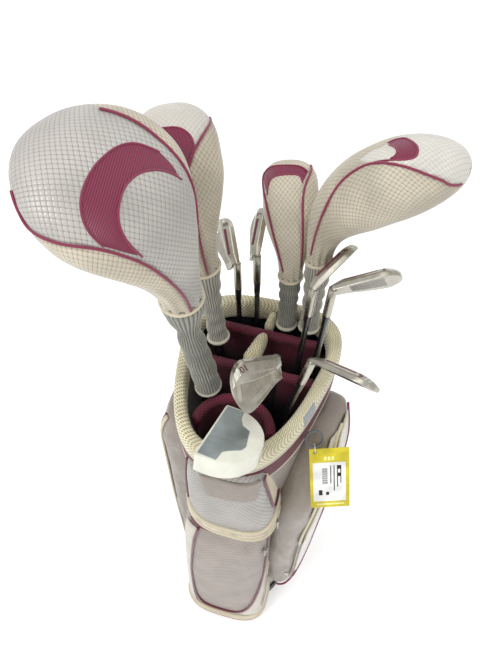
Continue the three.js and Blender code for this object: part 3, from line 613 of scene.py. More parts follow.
M = {
    "wall": satin_cloth("bag_satin", (140, 130, 120), sheen=0.3, wrinkle=0.0012, roughness=0.38),
    "pale": satin_cloth("pale_satin", (196, 189, 178), wrinkle=0.0004),
    "cream": satin_cloth("cream_cloth", (204, 194, 168), wrinkle=0.0004, roughness=0.55),
    "white": satin_cloth("white_satin", (214, 212, 206), wrinkle=0.0003, roughness=0.35),
    # An embossed cloth's second colour is painted shade in its grooves.
    "upper": embossed_cloth("silver_emboss", (170, 166, 161), (100, 95, 90), 0.0086),
    "lower": embossed_cloth("taupe_emboss", (150, 137, 127), (88, 76, 68), 0.0098),
    "patch": satin_cloth("grey_patch", (140, 144, 150), wrinkle=0.0003),
    "burgundy": satin_cloth("burgundy_cloth", (88, 20, 40), sheen=0.05, wrinkle=0.0003, roughness=0.55),
    # A mesh's second colour is painted shade in its openings.
    "cuff_mesh": open_mesh("cream_mesh", (224, 216, 184), (158, 149, 112), 0.0066),
    "pad_mesh": open_mesh("pad_mesh", (224, 214, 180), (140, 130, 92), 0.0050),
    "knit": knit_cloth("grey_green_knit", (152, 150, 134)),
    "knit_pale": knit_cloth("pale_knit", (186, 182, 166)),
    "knit_plain": satin_cloth("hem_knit", (186, 182, 166), sheen=0.4, roughness=0.9),
    "piping": piping_cloth("magenta_piping", (140, 36, 72)),
    "piping_dark": piping_cloth("burgundy_piping", (108, 26, 50)),
    "piping_pale": piping_cloth("pale_piping", (216, 206, 190)),
    "moulded": moulded_plastic("moulded_black", (44, 44, 47)),
    "frame": moulded_plastic("moulded_frame", (30, 30, 32)),
    "zip_plastic": moulded_plastic("zip_plastic", (206, 196, 178), 0.4),
    "grip": rubber_grip("rubber_grip"),
    "shaft": lacquer("shaft_black", (22, 22, 25), 0.2, 0.7),
    "wood": lacquer("head_black", (16, 16, 18), 0.16, 0.9),
    "steel": brushed_metal("satin_steel", (186, 182, 170), 0.24, (1, 1, 8)),
    "polished": brushed_metal("polished_steel", (214, 212, 206), 0.12, (1, 1, 1)),
    "stripe": lacquer("burgundy_paint", (96, 28, 44), 0.35, 0.3),
    "putter": lacquer("putter_white", (222, 222, 208), 0.3, 0.4),
    "insert": brushed_metal("insert_metal", (158, 168, 168), 0.32, (8, 1, 1)),
    "zinc": brushed_metal("zinc", (170, 166, 158), 0.3),
    "hook": moulded_plastic("hook_grey", (92, 94, 98), 0.4),
    "card": moulded_plastic("yellow_card", (206, 190, 34), 0.5, 0.00002),
    "paper": moulded_plastic("white_paper", (242, 242, 238), 0.6, 0.00002),
    "olive": moulded_plastic("tag_olive", (240, 232, 150), 0.5, 0.00002),
    "ink": moulded_plastic("black_ink", (20, 20, 22), 0.6, 0.00002),
    "nylon": moulded_plastic("clear_nylon", (226, 226, 226), 0.35, 0.00002),
    # Painted shade: a dark cloth for the inside of the side pocket's slit.
    "gap": satin_cloth("slit_painted_shade", (26, 22, 24), wrinkle=0.0003),
}


# ---- the clubs' frames ---------------------------------------------------------------------

LIFTS = {j["name"][:-5]: j for j in frame["joints"] if j["name"].endswith("_lift")}


def node_points(name):
    """A CAD node's vertices in millimetres."""
    return np.array([v.co for v in frame["nodes"][name].data.vertices]) / MM


def club_frame(name):
    """A club's own directions and its heel, from its joint and its CAD shaft."""
    club = CLUBS[name]
    axis = unit(np.array(LIFTS[name]["axis"], float))
    grip = node_points(f"{name}_grip")
    middle = (grip.min(axis=0) + grip.max(axis=0)) / 2
    butt = grip[(grip - middle) @ axis < ((grip - middle) @ axis).min() + 1].mean(axis=0)
    foot = butt + axis * ((FOOT_HEIGHT - butt[2]) / axis[2])
    shaft = node_points(f"{name}_shaft")
    length = ((shaft - foot) @ axis).max() + HOSEL["length"] + 0.4
    compass = np.array([math.cos(club["toe"] * DEG), math.sin(club["toe"] * DEG), 0])
    level = unit(compass - axis * compass.dot(axis))
    lie = club["lie"] * DEG
    toe = axis * math.cos(lie) + level * math.sin(lie)
    sole = (axis - toe * math.cos(lie)) / math.sin(lie)
    return dict(foot=foot, axis=axis, level=level, toe=toe, sole=sole, face=np.cross(toe, sole),
                heel=foot + axis * length, length=length)


FRAMES = {name: club_frame(name) for name in CLUBS}


def to_world(name, points):
    """From a head's frame at address (toe, face, up) to the bag's."""
    f = FRAMES[name]
    p = np.asarray(points, float)
    return f["heel"] + p[..., :1] * f["toe"] + p[..., 1:2] * f["face"] - p[..., 2:3] * f["sole"]


# ---- the headcovers ------------------------------------------------------------------------

def cover_spine(name):
    cover, club, f = COVERS[name], CLUBS[name], FRAMES[name]
    length, depth, height = club["size"]
    neck = f["heel"] - f["axis"] * cover["neck"]
    bend = f["heel"] + f["axis"] * cover["bend"] - f["level"] * 18 - f["face"] * depth * 0.12
    tip = (f["heel"] + f["toe"] * (length * DOME["toward"] + cover["reach"])
           - f["face"] * depth * DOME["back"] - f["sole"] * height * 0.5)
    return f, neck, bend, tip


def cover_point(name, t, angle, out=0.0):
    """Points on a cover's skin, raised by out: t from the neck to the far end, angle in degrees."""
    cover = COVERS[name]
    f, neck, bend, tip = cover_spine(name)
    t = np.asarray(t, float)[..., None]
    turn = np.asarray(angle, float)[..., None] * DEG
    out = np.asarray(out, float)
    out = out[..., None] if out.ndim else out
    centre = neck * (1 - t) ** 2 + bend * 2 * t * (1 - t) + tip * t * t
    along = unit(2 * (1 - t) * (bend - neck) + 2 * t * (tip - bend))
    wide = unit(f["face"] - along * (along @ f["face"])[..., None])
    thick = np.cross(along, wide)
    swell = smoothstep(t, 0.02, 0.62)
    past = np.clip((t - cover["close"]) / (1.0 - cover["close"]), 0, 1)
    close = np.maximum(1 - past ** cover["square"], 0) ** (1 / cover["square"])
    half_w = (cover["neck_radius"] + (cover["half_width"] - cover["neck_radius"]) * swell) * close
    half_t = (cover["neck_radius"] + (cover["half_thickness"] - cover["neck_radius"]) * swell) * close
    power = 2 / (2 + 0.5 * swell)
    c = signed_power(np.cos(turn), power)
    s = signed_power(np.sin(turn), power)
    cap = out * (1 - close) * (t > cover["close"])
    return centre + wide * (half_w + out) * c * np.minimum(close + 0.04, 1) ** 0.02 \
        + thick * (half_t + out) * s + along * cap


def unrolled(points):
    """(t, angle) pairs as millimetres on a flat pattern, near enough to measure trim by."""
    p = np.asarray(points, float)
    return np.stack([(p[:, 1] - 270) * DEG * 55, p[:, 0] * 330], axis=1)


def cover_rows(name, count=44, tip=26):
    """Where the rings of a cover go along t: closer together as it rounds over."""
    close, square = COVERS[name]["close"], COVERS[name]["square"]
    bend = np.linspace(0, math.pi / 2, tip)
    past = np.sin(bend) ** (2 / square)
    return np.concatenate([np.linspace(0, close, count, endpoint=False), close + (1 - close) * past * 0.9995])


def cover_shell(name, material):
    corners = 132
    rows = cover_rows(name)
    angles = 90 + np.arange(corners) * 360 / corners
    t, angle = np.meshgrid(rows, angles, indexing="ij")
    flat = unrolled(np.stack([t.ravel(), angle.ravel()], axis=1))
    crescent = eased(smooth_path(CRESCENTS[name][0], 10)), eased(smooth_path(CRESCENTS[name][1], 10))
    ring = unrolled(np.vstack([crescent[0], crescent[1][::-1]]))
    in_crescent = inside_distance(flat, ring)
    in_panel = inside_distance(flat, unrolled(smooth_path(PANELS[name], 4)))
    seam = np.full(len(flat), 1e3)
    for line in PIPING[name]:
        path = unrolled(smooth_path(line))
        for start in range(0, len(flat), 2000):
            part = flat[start:start + 2000]
            gap = np.linalg.norm(part[:, None] - path[None], axis=-1).min(axis=1)
            seam[start:start + 2000] = np.minimum(seam[start:start + 2000], gap)
    seam = seam.reshape(t.shape)
    pucker = 0.5 * np.sin(angle * 0.42 + t * 38) * np.exp(-seam / 9)
    neck = 1 - smoothstep(t, 0.0, 0.3)
    gathers = neck * 1.3 * np.sin(angle * DEG * 11 + ripple(t * 4, angle * DEG, 3))
    slack = 1.1 * ripple(t * 7, angle * DEG * 2, len(name)) * (1 - smoothstep(t, 0.86, 1.0))
    ease = (1 - smoothstep(t, 0.9, 1.0))
    out = (-1.7 * np.exp(-(seam / 3.2) ** 2) + pucker + slack * 0.6 + gathers) * ease
    outer = cover_point(name, t, angle, out)
    inner_rows = rows[rows < 0.9][::-1]
    ti, ai = np.meshgrid(inner_rows, angles, indexing="ij")
    inner = cover_point(name, ti, ai, -4.0)
    rings = np.concatenate([outer[::-1], inner[::-1]], axis=0)
    flipped = lambda values: values.reshape(t.shape)[::-1].ravel()
    blank = np.full(inner.shape[0] * corners, -9.0)
    hubs = [-9.0, -9.0]
    fields = dict(crescent=np.concatenate([flipped(in_crescent), blank, hubs]),
                  panel=np.concatenate([flipped(in_panel), blank, hubs]))
    loft_piece(f"{name}_cover_skin", rings, material, f"{name}_cover", "cover_shell", fields=fields,
               replaces=(f"{name}_cover_shell",), fill=0.7)


def cover_line(name, label, t, angle, out, radius, material, closed=False):
    """A cord sewn along a line on a cover's skin."""
    tube(f"{name}_cover_{label}", cover_point(name, t, angle, out), radius, material, f"{name}_cover",
         "cover_shell", closed=closed)


def cover_trim(name):
    for label, lines, radius, rounds in (("piping", PIPING, 1.7, 60), ("edge", CRESCENTS, 1.2, 30)):
        for i, line in enumerate(lines[name]):
            path = eased(smooth_path(line, 10), rounds)
            cover_line(name, f"{label}_{i + 1}", path[:, 0], path[:, 1], 0.2, radius, M["piping"])
    around = np.linspace(0, 360, 72, endpoint=False)
    cover_line(name, "neck_binding", np.full(72, 0.008), around, 0.4, 2.8, M["cream"], True)
    seam = np.linspace(0.02, 0.97, 60)
    cover_line(name, "back_seam", seam, np.full(60, 90.0), 0.1, 1.1, M["piping_pale"])


def cover_sock(name, material):
    """The ribbed knit from the shell's neck to its hem, with soft folds and a rolled edge."""
    f = FRAMES[name]
    top = f["length"] - COVERS[name]["neck"] + 6
    low = HEM[name]
    shares, radii, shifts = np.array(SOCKS[name], float).T
    rows = 110
    s = np.linspace(0, 1, rows)
    radius = eased(np.interp(s, shares, radii), 4)
    shift = np.interp(s, shares, shifts)
    height = top + (low - top) * s
    side = unit(LEFTWARD - f["axis"] * LEFTWARD.dot(f["axis"]))
    other = np.cross(f["axis"], side)
    corners = 168
    angle = np.arange(corners) * 2 * math.pi / corners
    ribs = np.cos(angle * KNIT["ribs"])
    rings = []
    for wall, rows_used in ((0.0, range(rows)), (-KNIT["wall"], range(rows - 1, -1, -1))):
        for i in rows_used:
            fold = 1.5 * np.sin(s[i] * 34 + 1.1 * np.sin(angle + s[i] * 5)) * math.sin(math.pi * s[i]) ** 0.7
            least = KNIT["least_radius"] + (wall + KNIT["wall"]) * 0.8
            r = np.maximum(radius[i] + fold + KNIT["rib_height"] * ribs + wall, least)
            centre = f["foot"] + f["axis"] * height[i] + side * shift[i]
            rings.append(centre + r[:,
                                    None] * (np.cos(angle)[:, None] * side + np.sin(angle)[:, None] * other))
    loft_piece(f"{name}_cover_knit", rings, material, f"{name}_cover", "cover_sock", looped=True,
               replaces=(f"{name}_cover_sock",), fill=0.2, fields=dict(rib=np.tile(ribs, 2 * rows)))
    turn = np.linspace(0, 2 * math.pi, 60, endpoint=False)[:, None]
    middle = f["foot"] + f["axis"] * (low + 5) + side * shift[-1]
    circle = middle + (radius[-1] - 0.4) * (np.cos(turn) * side + np.sin(turn) * other)
    tube(f"{name}_cover_hem", circle, 3.4, M["knit_plain"], f"{name}_cover", "cover_sock", closed=True)


# Each cover's colours: pressed cloth, top panel, painted shade in the top panel's grooves, crescent.
COVER_LOOKS = {
    "driver": ((198, 188, 168), (182, 178, 172), (142, 138, 131), (134, 32, 70)),
    "wood3": ((192, 182, 162), (208, 204, 194), (186, 181, 170), (134, 32, 70)),
    "hybrid": ((196, 186, 166), (200, 191, 172), (152, 143, 126), (134, 32, 70)),
    "wood5": ((192, 183, 164), (210, 207, 198), (190, 185, 175), (134, 32, 70)),
}


def build_covers():
    for name, (dimple, panel, line, crescent) in COVER_LOOKS.items():
        cover_shell(name, cover_cloth(f"{name}_cover_cloth", dimple, panel, line, crescent, 0.0068))
        cover_trim(name)
        cover_sock(name, M["knit"] if name in ("driver", "hybrid") else M["knit_pale"])


# ---- the bag -------------------------------------------------------------------------------

def outline(angle, half_width, half_depth, widen, skew):
    along = signed_power(np.sin(angle), 2 / POWER)
    across = signed_power(np.cos(angle), 2 / POWER)
    return half_width * (1 + widen * along) * across + skew * along, half_depth * along


def rim_shape(inset=0.0):
    return dict(half_width=RIM["half_width"] - inset, half_depth=RIM["half_depth"] - inset,
                widen=RIM["widen"], skew=RIM["skew"])


def rim_height(y, drop=0.0):
    return RIM["height"] - drop + y * math.tan(RIM["tilt"])


def wall_shape(fraction, distance=0.0):
    mix = lambda low, high: low + (high - low) * fraction
    return dict(half_width=mix(BASE["half_width"], RIM["half_width"] - WALL["inset"]) - distance,
                half_depth=mix(BASE["half_depth"], RIM["half_depth"] - WALL["inset"]) - distance,
                widen=mix(BASE["widen"], RIM["widen"]), skew=mix(BASE["skew"], RIM["skew"]))


def even_angles(count, shape):
    """Angles that space points evenly round the outline."""
    fine = np.linspace(0, 2 * math.pi, 1441)
    x, y = outline(fine, **shape)
    run = np.concatenate([[0], np.hypot(np.diff(x), np.diff(y)).cumsum()])
    return np.interp(np.arange(count) / count * run[-1], run, fine)


def wall_ring(fraction, distance, count=220, bulge=None):
    shape = wall_shape(fraction, distance)
    angle = even_angles(count, wall_shape(1))
    x, y = outline(angle, **shape)
    z = WALL["foot"] + (rim_height(y, WALL_TOP) - WALL["foot"]) * fraction
    if bulge is not None:
        push = bulge(angle, fraction)
        x, y = x + np.cos(angle) * push, y + np.sin(angle) * push
    return np.stack([x, y, z], axis=1)


def build_wall():
    bulge = lambda angle, f: 0.9 * ripple(angle * 3, f * 9, 2) * math.sin(math.pi * f) ** 0.5
    levels = np.linspace(0, 1, 60)
    rings = [wall_ring(f, 0, bulge=bulge) for f in levels]
    rings += [wall_ring(f, WALL["thickness"]) for f in levels[::-4]]
    loft_piece("bag_shell", rings, M["wall"], "bag", "bag_wall", looped=True, replaces=("bag_wall",),
               fill=0.5)
    band_top = 1.0
    band_low = 1 - 46 / RIM["height"]
    band = [wall_ring(f, -2.6 - 1.2 * math.sin(math.pi * i / 5)) for i, f in
            enumerate(np.linspace(band_low, band_top, 6))]
    band += [wall_ring(f, 0.2) for f in (band_top, band_low)]
    loft_piece("rim_band", band, M["burgundy"], "bag", "bag_wall", looped=True, fill=0.4)
    for label, f in (("low", band_low), ("high", 1.0)):
        tube(f"rim_binding_{label}", wall_ring(f, -2.0, 160), 2.0, M["piping_pale"], "bag", "bag_wall",
             closed=True)
    for side, turn in (("left", 122), ("right", 58)):
        path = []
        for f in np.linspace(0.05, 0.955, 50):
            x, y = outline(turn * DEG, **wall_shape(f, -0.8))
            path.append((x, y, WALL["foot"] + (rim_height(y, WALL_TOP) - WALL["foot"]) * f))
        tube(f"back_piping_{side}", path, 2.0, M["piping_dark"], "bag", "bag_wall")


def build_cuff():
    steps, count = 30, 240
    angle = even_angles(count, rim_shape())
    rings = []
    for i in range(steps):
        turn = i / steps * 2 * math.pi
        puff = 0.7 * ripple(angle * 5, np.full(count, turn), 4)
        across = CUFF["thickness"] / 2 * (1 + signed_power(math.cos(turn), 0.7)) + puff * math.cos(turn) * -1
        half = CUFF["height"] / 2
        drop = half - CUFF["rise"] - (half + puff) * signed_power(math.sin(turn), 0.7)
        ring = []
        for a, inward, down in zip(angle, across, drop):
            x, y = outline(a, **rim_shape(inward))
            ring.append((x, y, rim_height(y, down)))
        rings.append(ring)
    loft_piece("rim_pad", rings, M["cuff_mesh"], "bag", "rim_cuff", looped=True, replaces=("rim_cuff",),
               fill=0.85)
    patch = []
    for turn in np.linspace(100, 190, 10) * DEG:
        row = []
        for a in np.linspace(-16, -6, 10) * DEG:
            across = CUFF["thickness"] / 2 * (1 + signed_power(math.cos(turn), 0.7)) - 0.3
            drop = CUFF["height"] / 2 - CUFF["rise"] - CUFF["height"] / 2 * signed_power(math.sin(turn), 0.7)
            x, y = outline(a, **rim_shape(across))
            row.append((x, y, rim_height(y, drop)))
        patch.append(row)
    points, faces, uvs = ribbon(patch, 1.2, 0.2)
    make("rim_patch", points, faces, M["patch"], "bag", "rim_cuff", uvs=uvs)


def bar_section(depth):
    """Across and down from a bar's centre, going round from one foot of its panel to the other."""
    arc = np.linspace(-72, 252, 26) * DEG
    half = BAR["panel"] / 2
    down = np.linspace(-depth, -BAR["radius"] - 3, 12)
    left = [(half, z) for z in down]
    round_part = [(BAR["radius"] * math.cos(a), BAR["radius"] * math.sin(a)) for a in arc]
    return np.array(left + round_part + [(-x, z) for x, z in left[::-1]])


def span_at(y, shape):
    along = y / shape["half_depth"]
    half = shape["half_width"] * (1 + shape["widen"] * along) * (1 - abs(along) ** POWER) ** (1 / POWER)
    return shape["skew"] * along - half, shape["skew"] * along + half


def straight_bar(name, centre_y, depth):
    shape = rim_shape(CUFF["thickness"] + 0.4)
    left, right = span_at(centre_y + math.copysign(BAR["radius"], centre_y) + 2, shape)
    rings = []
    for t in np.linspace(0, 1, 56):
        ring = []
        puff = 1 + 0.035 * math.sin(t * 61) * math.sin(math.pi * t)
        for offset, lift in bar_section(depth):
            taper = 1 + min(lift, 0) * BAR["narrow"]
            wave = 1.2 * math.sin(t * 9 + lift * 0.02) * (lift < -12)
            swell = puff if lift > -10 else 1
            x = (left + BAR["end_gap"] + (right - left - 2 * BAR["end_gap"]) * t) * taper
            y = (centre_y + x * BAR["slope"]) * taper + offset * swell + wave
            ring.append((x, y, rim_height(y, BAR["drop"]) + lift * (swell if lift > 0 else 1)))
        rings.append(ring)
    loft_piece(f"{name}_pad", rings, panel_cloth, "bag", name, replaces=(name,), fill=0.8)


def arch_bar():
    rings = []
    for t in np.linspace(0, 1, 72):
        angle = (ARCH["start"] + ARCH["sweep"] * t) * DEG
        x0 = ARCH["x"] + ARCH["half_width"] * math.cos(angle)
        y0 = ARCH["y"] + ARCH["height"] * math.sin(angle)
        nx, ny = unit(np.array([math.cos(angle) / ARCH["half_width"], math.sin(angle) / ARCH["height"]]))
        puff = 1 + 0.035 * math.sin(t * 70) * math.sin(math.pi * t)
        ring = []
        for offset, lift in bar_section(PANEL_DEPTH["arch"]):
            swell = puff if lift > -10 else 1
            x, y = x0 + nx * offset * swell, y0 + ny * offset * swell
            ring.append((x, y, rim_height(y, BAR["drop"]) + lift * (swell if lift > 0 else 1)))
        rings.append(ring)
    loft_piece("divider_arch_pad", rings, panel_cloth, "bag", "divider_arch", replaces=("divider_arch",),
               fill=0.8)


def centre_pad(name, start, end, widths):
    """A padded bridge between two bars, with ribs across it."""
    rings = []
    columns = 64
    for i in range(columns + 1):
        t = i / columns
        x, y = (start[0] + (end[0] - start[0]) * t, start[1] + (end[1] - start[1]) * t)
        width = widths[0] + (widths[1] - widths[0]) * t
        rounding = 0.72 + 0.28 * min(1, 6 * t, 6 * (1 - t))
        rib = 0.8 * abs(math.sin(t * (end[1] - start[1]) / 5.2 * math.pi / 2))
        height = rim_height(y, CENTRE_PAD["depth"] / 2 - CENTRE_PAD["rise"])
        ring = []
        for a in np.linspace(0, 2 * math.pi, 32, endpoint=False):
            ring.append((x + signed_power(math.cos(a), 0.85) * (width * rounding + rib - 0.8), y,
                         height + signed_power(math.sin(a),
                                               0.85) * (CENTRE_PAD["depth"] / 2 * rounding + rib - 0.8)))
        rings.append(ring)
    loft_piece(f"{name}_pad", rings, M["pad_mesh"], "bag", name, replaces=(name,), fill=0.85)


def panel_material():
    """Burgundy mesh with painted shade: near black in its openings, and fading to near black lower down the
    dividers' panels, where they are in shade inside the bag.
    """
    f = Finish("divider_mesh", (96, 16, 40), 0.75, Sheen_Weight=0.08, Sheen_Roughness=0.5)
    gap = f.diamonds(0.0056, 0.8)
    opening = f.ramp(gap, 0.35, 0.75)
    _, y, z = f.axes(f.place(False))
    level = f.math("SUBTRACT", z, f.math("MULTIPLY", y, math.tan(RIM["tilt"])))
    # Painted shade: the threads fade to near black lower down inside the bag.
    depth = f.ramp(level, 0.70, 0.80)
    threads = f.mix(depth, rgb(16, 7, 10), mottled(f, (108, 20, 48), 0.08, 20))
    # Painted shade: the openings are near black.
    f.colour(f.mix(opening, threads, rgb(14, 3, 7)))
    f.normal(f.bump(f.math("SUBTRACT", 1.0, opening), 0.0008, 0.9))
    return f.material


panel_cloth = panel_material()


def build_mouth():
    build_cuff()
    straight_bar("divider_rear", BAR["rear_y"], PANEL_DEPTH["rear"])
    straight_bar("divider_front", BAR["front_y"], PANEL_DEPTH["front"])
    arch_bar()
    centre_pad("centre_pad_back", (7, BAR["rear_y"] + BAR["radius"] + 1), (11, 131), (8, 8))
    centre_pad("centre_pad_front", (4, BAR["rear_y"] - BAR["radius"] - 1),
               (-8, BAR["front_y"] + BAR["radius"] + 1),
               (10, 15))


# ---- the pockets ---------------------------------------------------------------------------

def off_the_wall(points, clear=0.6):
    """Moves the points that are inside the bag's wall out to its skin."""
    p = np.array(points, float)
    top = rim_height(p[:, 1], WALL_TOP)
    f = np.clip((p[:, 2] - WALL["foot"]) / (top - WALL["foot"]), 0, 1)
    shape = wall_shape(f, -clear)
    foot = np.where(p[:, 2] < TRAY_TOP, TRAY_LIP, 0)
    half_w, half_d = shape["half_width"] + foot, shape["half_depth"] + foot
    widen, skew = shape["widen"], shape["skew"]
    along = p[:, 1] / half_d
    across = (p[:, 0] - skew * along) / (half_w * (1 + widen * np.clip(along, -1, 1)))
    size = (np.abs(along) ** POWER + np.abs(across) ** POWER) ** (1 / POWER)
    push = np.where(size < 1, 1 / np.maximum(size, 1e-6), 1)
    along, across = along * push, across * push
    x = half_w * (1 + widen * np.clip(along, -1, 1)) * across + skew * along
    p[:, 0] = np.where(size < 1, x, p[:, 0])
    p[:, 1] = np.where(size < 1, half_d * along, p[:, 1])
    return p


def station_at(name, z):
    """A pocket's centre and half sizes at a height, eased between its stations."""
    table = np.array(POCKETS[name], float)
    heights = table[:, 0]
    values = np.array([np.interp(z, heights, table[:, k]) for k in range(1, 5)])
    reach = min(18.0, abs(heights[-1] - z) / 2 + 0.1, abs(z - heights[0]) / 2 + 0.1)
    soft = [np.interp(z + d, heights, table[:, k]) for k in range(1, 5) for d in (-reach, reach)]
    return (values + np.array(soft).reshape(4, 2).mean(axis=1)) / 2


def pocket_point(name, angle, z, out=0.0, power=3.0):
    """A point on a pocket's skin, raised by out. The angle is in degrees, -90 at the front."""
    x, y, half_w, half_d = station_at(name, z)
    a = angle * DEG
    dx = (half_w + out) * signed_power(math.cos(a), 2 / power)
    dy = (half_d + out) * signed_power(math.sin(a), 2 / power)
    turn = POCKET_TURN.get(name, 0) * DEG
    return np.array([x + dx * math.cos(turn) - dy * math.sin(turn),
                     y + dx * math.sin(turn) + dy * math.cos(turn), z])


def pocket_skin(name, material, seed, wrinkle):
    """A soft bag pocket, with its ends rounded over and its cloth a little slack."""
    heights = [row[0] for row in POCKETS[name]]
    low, high = heights[0], heights[-1]
    rows = []
    for t in np.linspace(0, 1, 96):
        z = low + (high - low) * t
        edge = min(z - low, high - z)
        drawn = -9.0 * (1 - math.sqrt(max(0.0, 1 - max(0.0, 1 - edge / 12) ** 2)))
        row = []
        for a in np.linspace(0, 360, 150, endpoint=False):
            crease = wrinkle * 1.5 * ripple(a * DEG * 2.2, z / 62, seed) \
                + wrinkle * 0.8 * ripple(a * DEG * 5, z / 24, seed + 1)
            row.append(pocket_point(name, a, z, drawn + crease * min(1, edge / 30) - 1.5 * wrinkle))
        rows.append(off_the_wall(np.array(row)))
    loft_piece(f"{name}_skin", rows, material, "bag", name, replaces=(name,), fill=0.55)


def pocket_line(label, name, points, radius, material, out=0.6, closed=False):
    path = smooth_path(points, 12)
    tube(label, [pocket_point(name, a, z, out) for a, z in path], radius, material, "bag", name,
         closed=closed)


def pocket_panel(label, name, outline_points, material, lift=1.0, thickness=1.6):
    """A cloth panel sewn on a pocket: a patch of its skin between two edges of (angle, height) points."""
    left, right = outline_points
    a = smooth_path(left, 10)
    b = smooth_path(right, 10)
    rows = min(len(a), len(b))
    grid = []
    for p, q in zip(a[:rows], b[:rows]):
        row = [pocket_point(name, *(p + (q - p) * s), lift) for s in np.linspace(0, 1, 26)]
        grid.append(row)
    points, faces, uvs = ribbon(grid, thickness)
    make(label, points, faces, material, "bag", name, uvs=uvs, fill=0.3)


def zip_teeth(label, pocket, points, material, body_lift=2.2, pitch=4.0):
    """A row of small teeth along a path on a pocket."""
    path = smooth_path(points, 16)
    spots = np.array([pocket_point(pocket, a, z, body_lift) for a, z in path])
    run = np.concatenate([[0], np.linalg.norm(np.diff(spots, axis=0), axis=1).cumsum()])
    count = int(run[-1] / pitch)
    at = np.linspace(0, run[-1], count)
    centres = np.stack([np.interp(at, run, spots[:, k]) for k in range(3)], axis=1)
    ahead = unit(np.gradient(centres, axis=0))
    middle = np.array([*station_at(pocket, centres[0][2])[:2], 0])
    parts = []
    for centre, way in zip(centres, ahead):
        out = centre - middle
        out[2] = 0
        out = unit(out - way * way.dot(out))
        side = np.cross(way, out)
        ring = [side * a + out * b for a, b in ((-2.2, -0.6), (2.2, -0.6), (1.6, 0.7), (-1.6, 0.7))]
        parts.append(outward(*loft([[centre + way * d + r for r in ring] for d in (-1.1, 1.1)])))
    points, faces, uvs = merged(parts)
    make(label, points, faces, material, "bag", pocket, uvs=uvs, smooth=False)


def build_pockets():
    pocket_skin("lower_front_pocket", M["lower"], 1, 0.8)
    pocket_skin("upper_front_pocket", M["upper"], 2, 0.6)
    pocket_skin("left_side_pocket", M["wall"], 3, 1.3)
    pocket_skin("right_side_pocket", M["wall"], 4, 2.2)
    trim_lower_pocket()
    trim_upper_pocket()
    trim_side_pockets()


def trim_lower_pocket():
    name = "lower_front_pocket"
    flap = [(-116, 546), (-126, 400), (-131, 276), (-129, 160), (-118, 92), (-100, 70), (-78, 78), (-57, 124),
            (-40, 200), (-25, 280), (-15, 360), (-8, 465), (-5, 546)]
    pocket_line("lower_flap_piping", name, flap, 2.6, M["piping_dark"])
    left = [(-150, 540), (-150, 400), (-152, 276), (-152, 130), (-148, 50)]
    right = [(-118, 540), (-128, 400), (-134, 276), (-133, 130), (-124, 50)]
    pocket_panel("lower_side_left", name, (left, right), M["pale"])
    pocket_panel("lower_side_right", name,
                 ([(-1, 540), (-4, 465), (-11, 360), (-21, 280), (-36, 200), (-53, 124), (-72, 66)],
                  [(34, 540), (34, 465), (34, 350), (32, 262), (28, 174), (14, 92), (-4, 44)]), M["pale"])
    zip_path = [(14, 536), (10, 465), (4, 350), (-4, 262), (-14, 174), (-26, 110)]
    pocket_line("lower_zip_tape", name, zip_path, 2.4, M["zip_plastic"], 2.0)
    zip_teeth("lower_zip_teeth", name, zip_path, M["zinc"], 4.4)
    lip = [(-166, 40), (-150, 26), (-120, 20), (-90, 19), (-60, 21), (-30, 26), (0, 34), (20, 44)]
    pocket_line("lower_lip", name, [(a, z + 12) for a, z in lip], 4.6, M["cream"], 0.6)
    pocket_line("lower_lip_upper", name, [(a, z + 27) for a, z in lip], 3.6, M["cream"], 0.0)
    pocket_line("lower_lip_zip", name, [(a, z + 19) for a, z in lip], 2.6, M["zip_plastic"], 0.6)
    pocket_line("lower_lip_piping", name, [(a, z + 1) for a, z in lip], 2.0, M["piping"], 1.8)
    pocket_panel("lower_top_band", name, ([(-140, 562), (-138, 548)], [(-30, 562), (-30, 548)]),
                 M["burgundy"],
                 0.6, 1.2)


def trim_upper_pocket():
    name = "upper_front_pocket"
    left = [(-112, 758), (-107, 735), (-101, 708)]
    right = [(-24, 758), (-33, 738), (-46, 716)]
    pocket_panel("upper_flap", name, (left, right), M["wall"], 1.4, 1.8)
    edge = [(-164, 628), (-150, 618), (-135, 608), (-110, 596), (-87, 592), (-60, 592), (-30, 596), (-8, 603),
            (16, 610)]
    pocket_line("upper_zip_edge_1", name, [(a, z + 18) for a, z in edge], 3.8, M["cream"], 0.0)
    pocket_line("upper_zip_edge_2", name, [(a, z - 4) for a, z in edge], 4.2, M["cream"], 0.4)
    pocket_line("upper_zip_gap", name, [(a, z + 7) for a, z in edge], 3.4, M["zip_plastic"], 0.4)
    panel = ([(-14, 748), (-9, 700), (-6, 652)], [(44, 756), (36, 706), (24, 650)])
    pocket_panel("upper_side_panel", name, panel, M["cream"], 1.2, 1.6)
    border = [(-10, 757), (-15, 748), (-10, 700), (-8, 660), (-3, 642), (16, 642), (30, 662), (38, 706),
              (44, 752)]
    pocket_line("upper_side_piping", name, border, 2.0, M["piping_dark"], 2.0)
    pocket_line("upper_left_piping", name, [(-168, 752), (-160, 700), (-156, 650), (-152, 628)], 2.0,
                M["piping_dark"], 0.6)


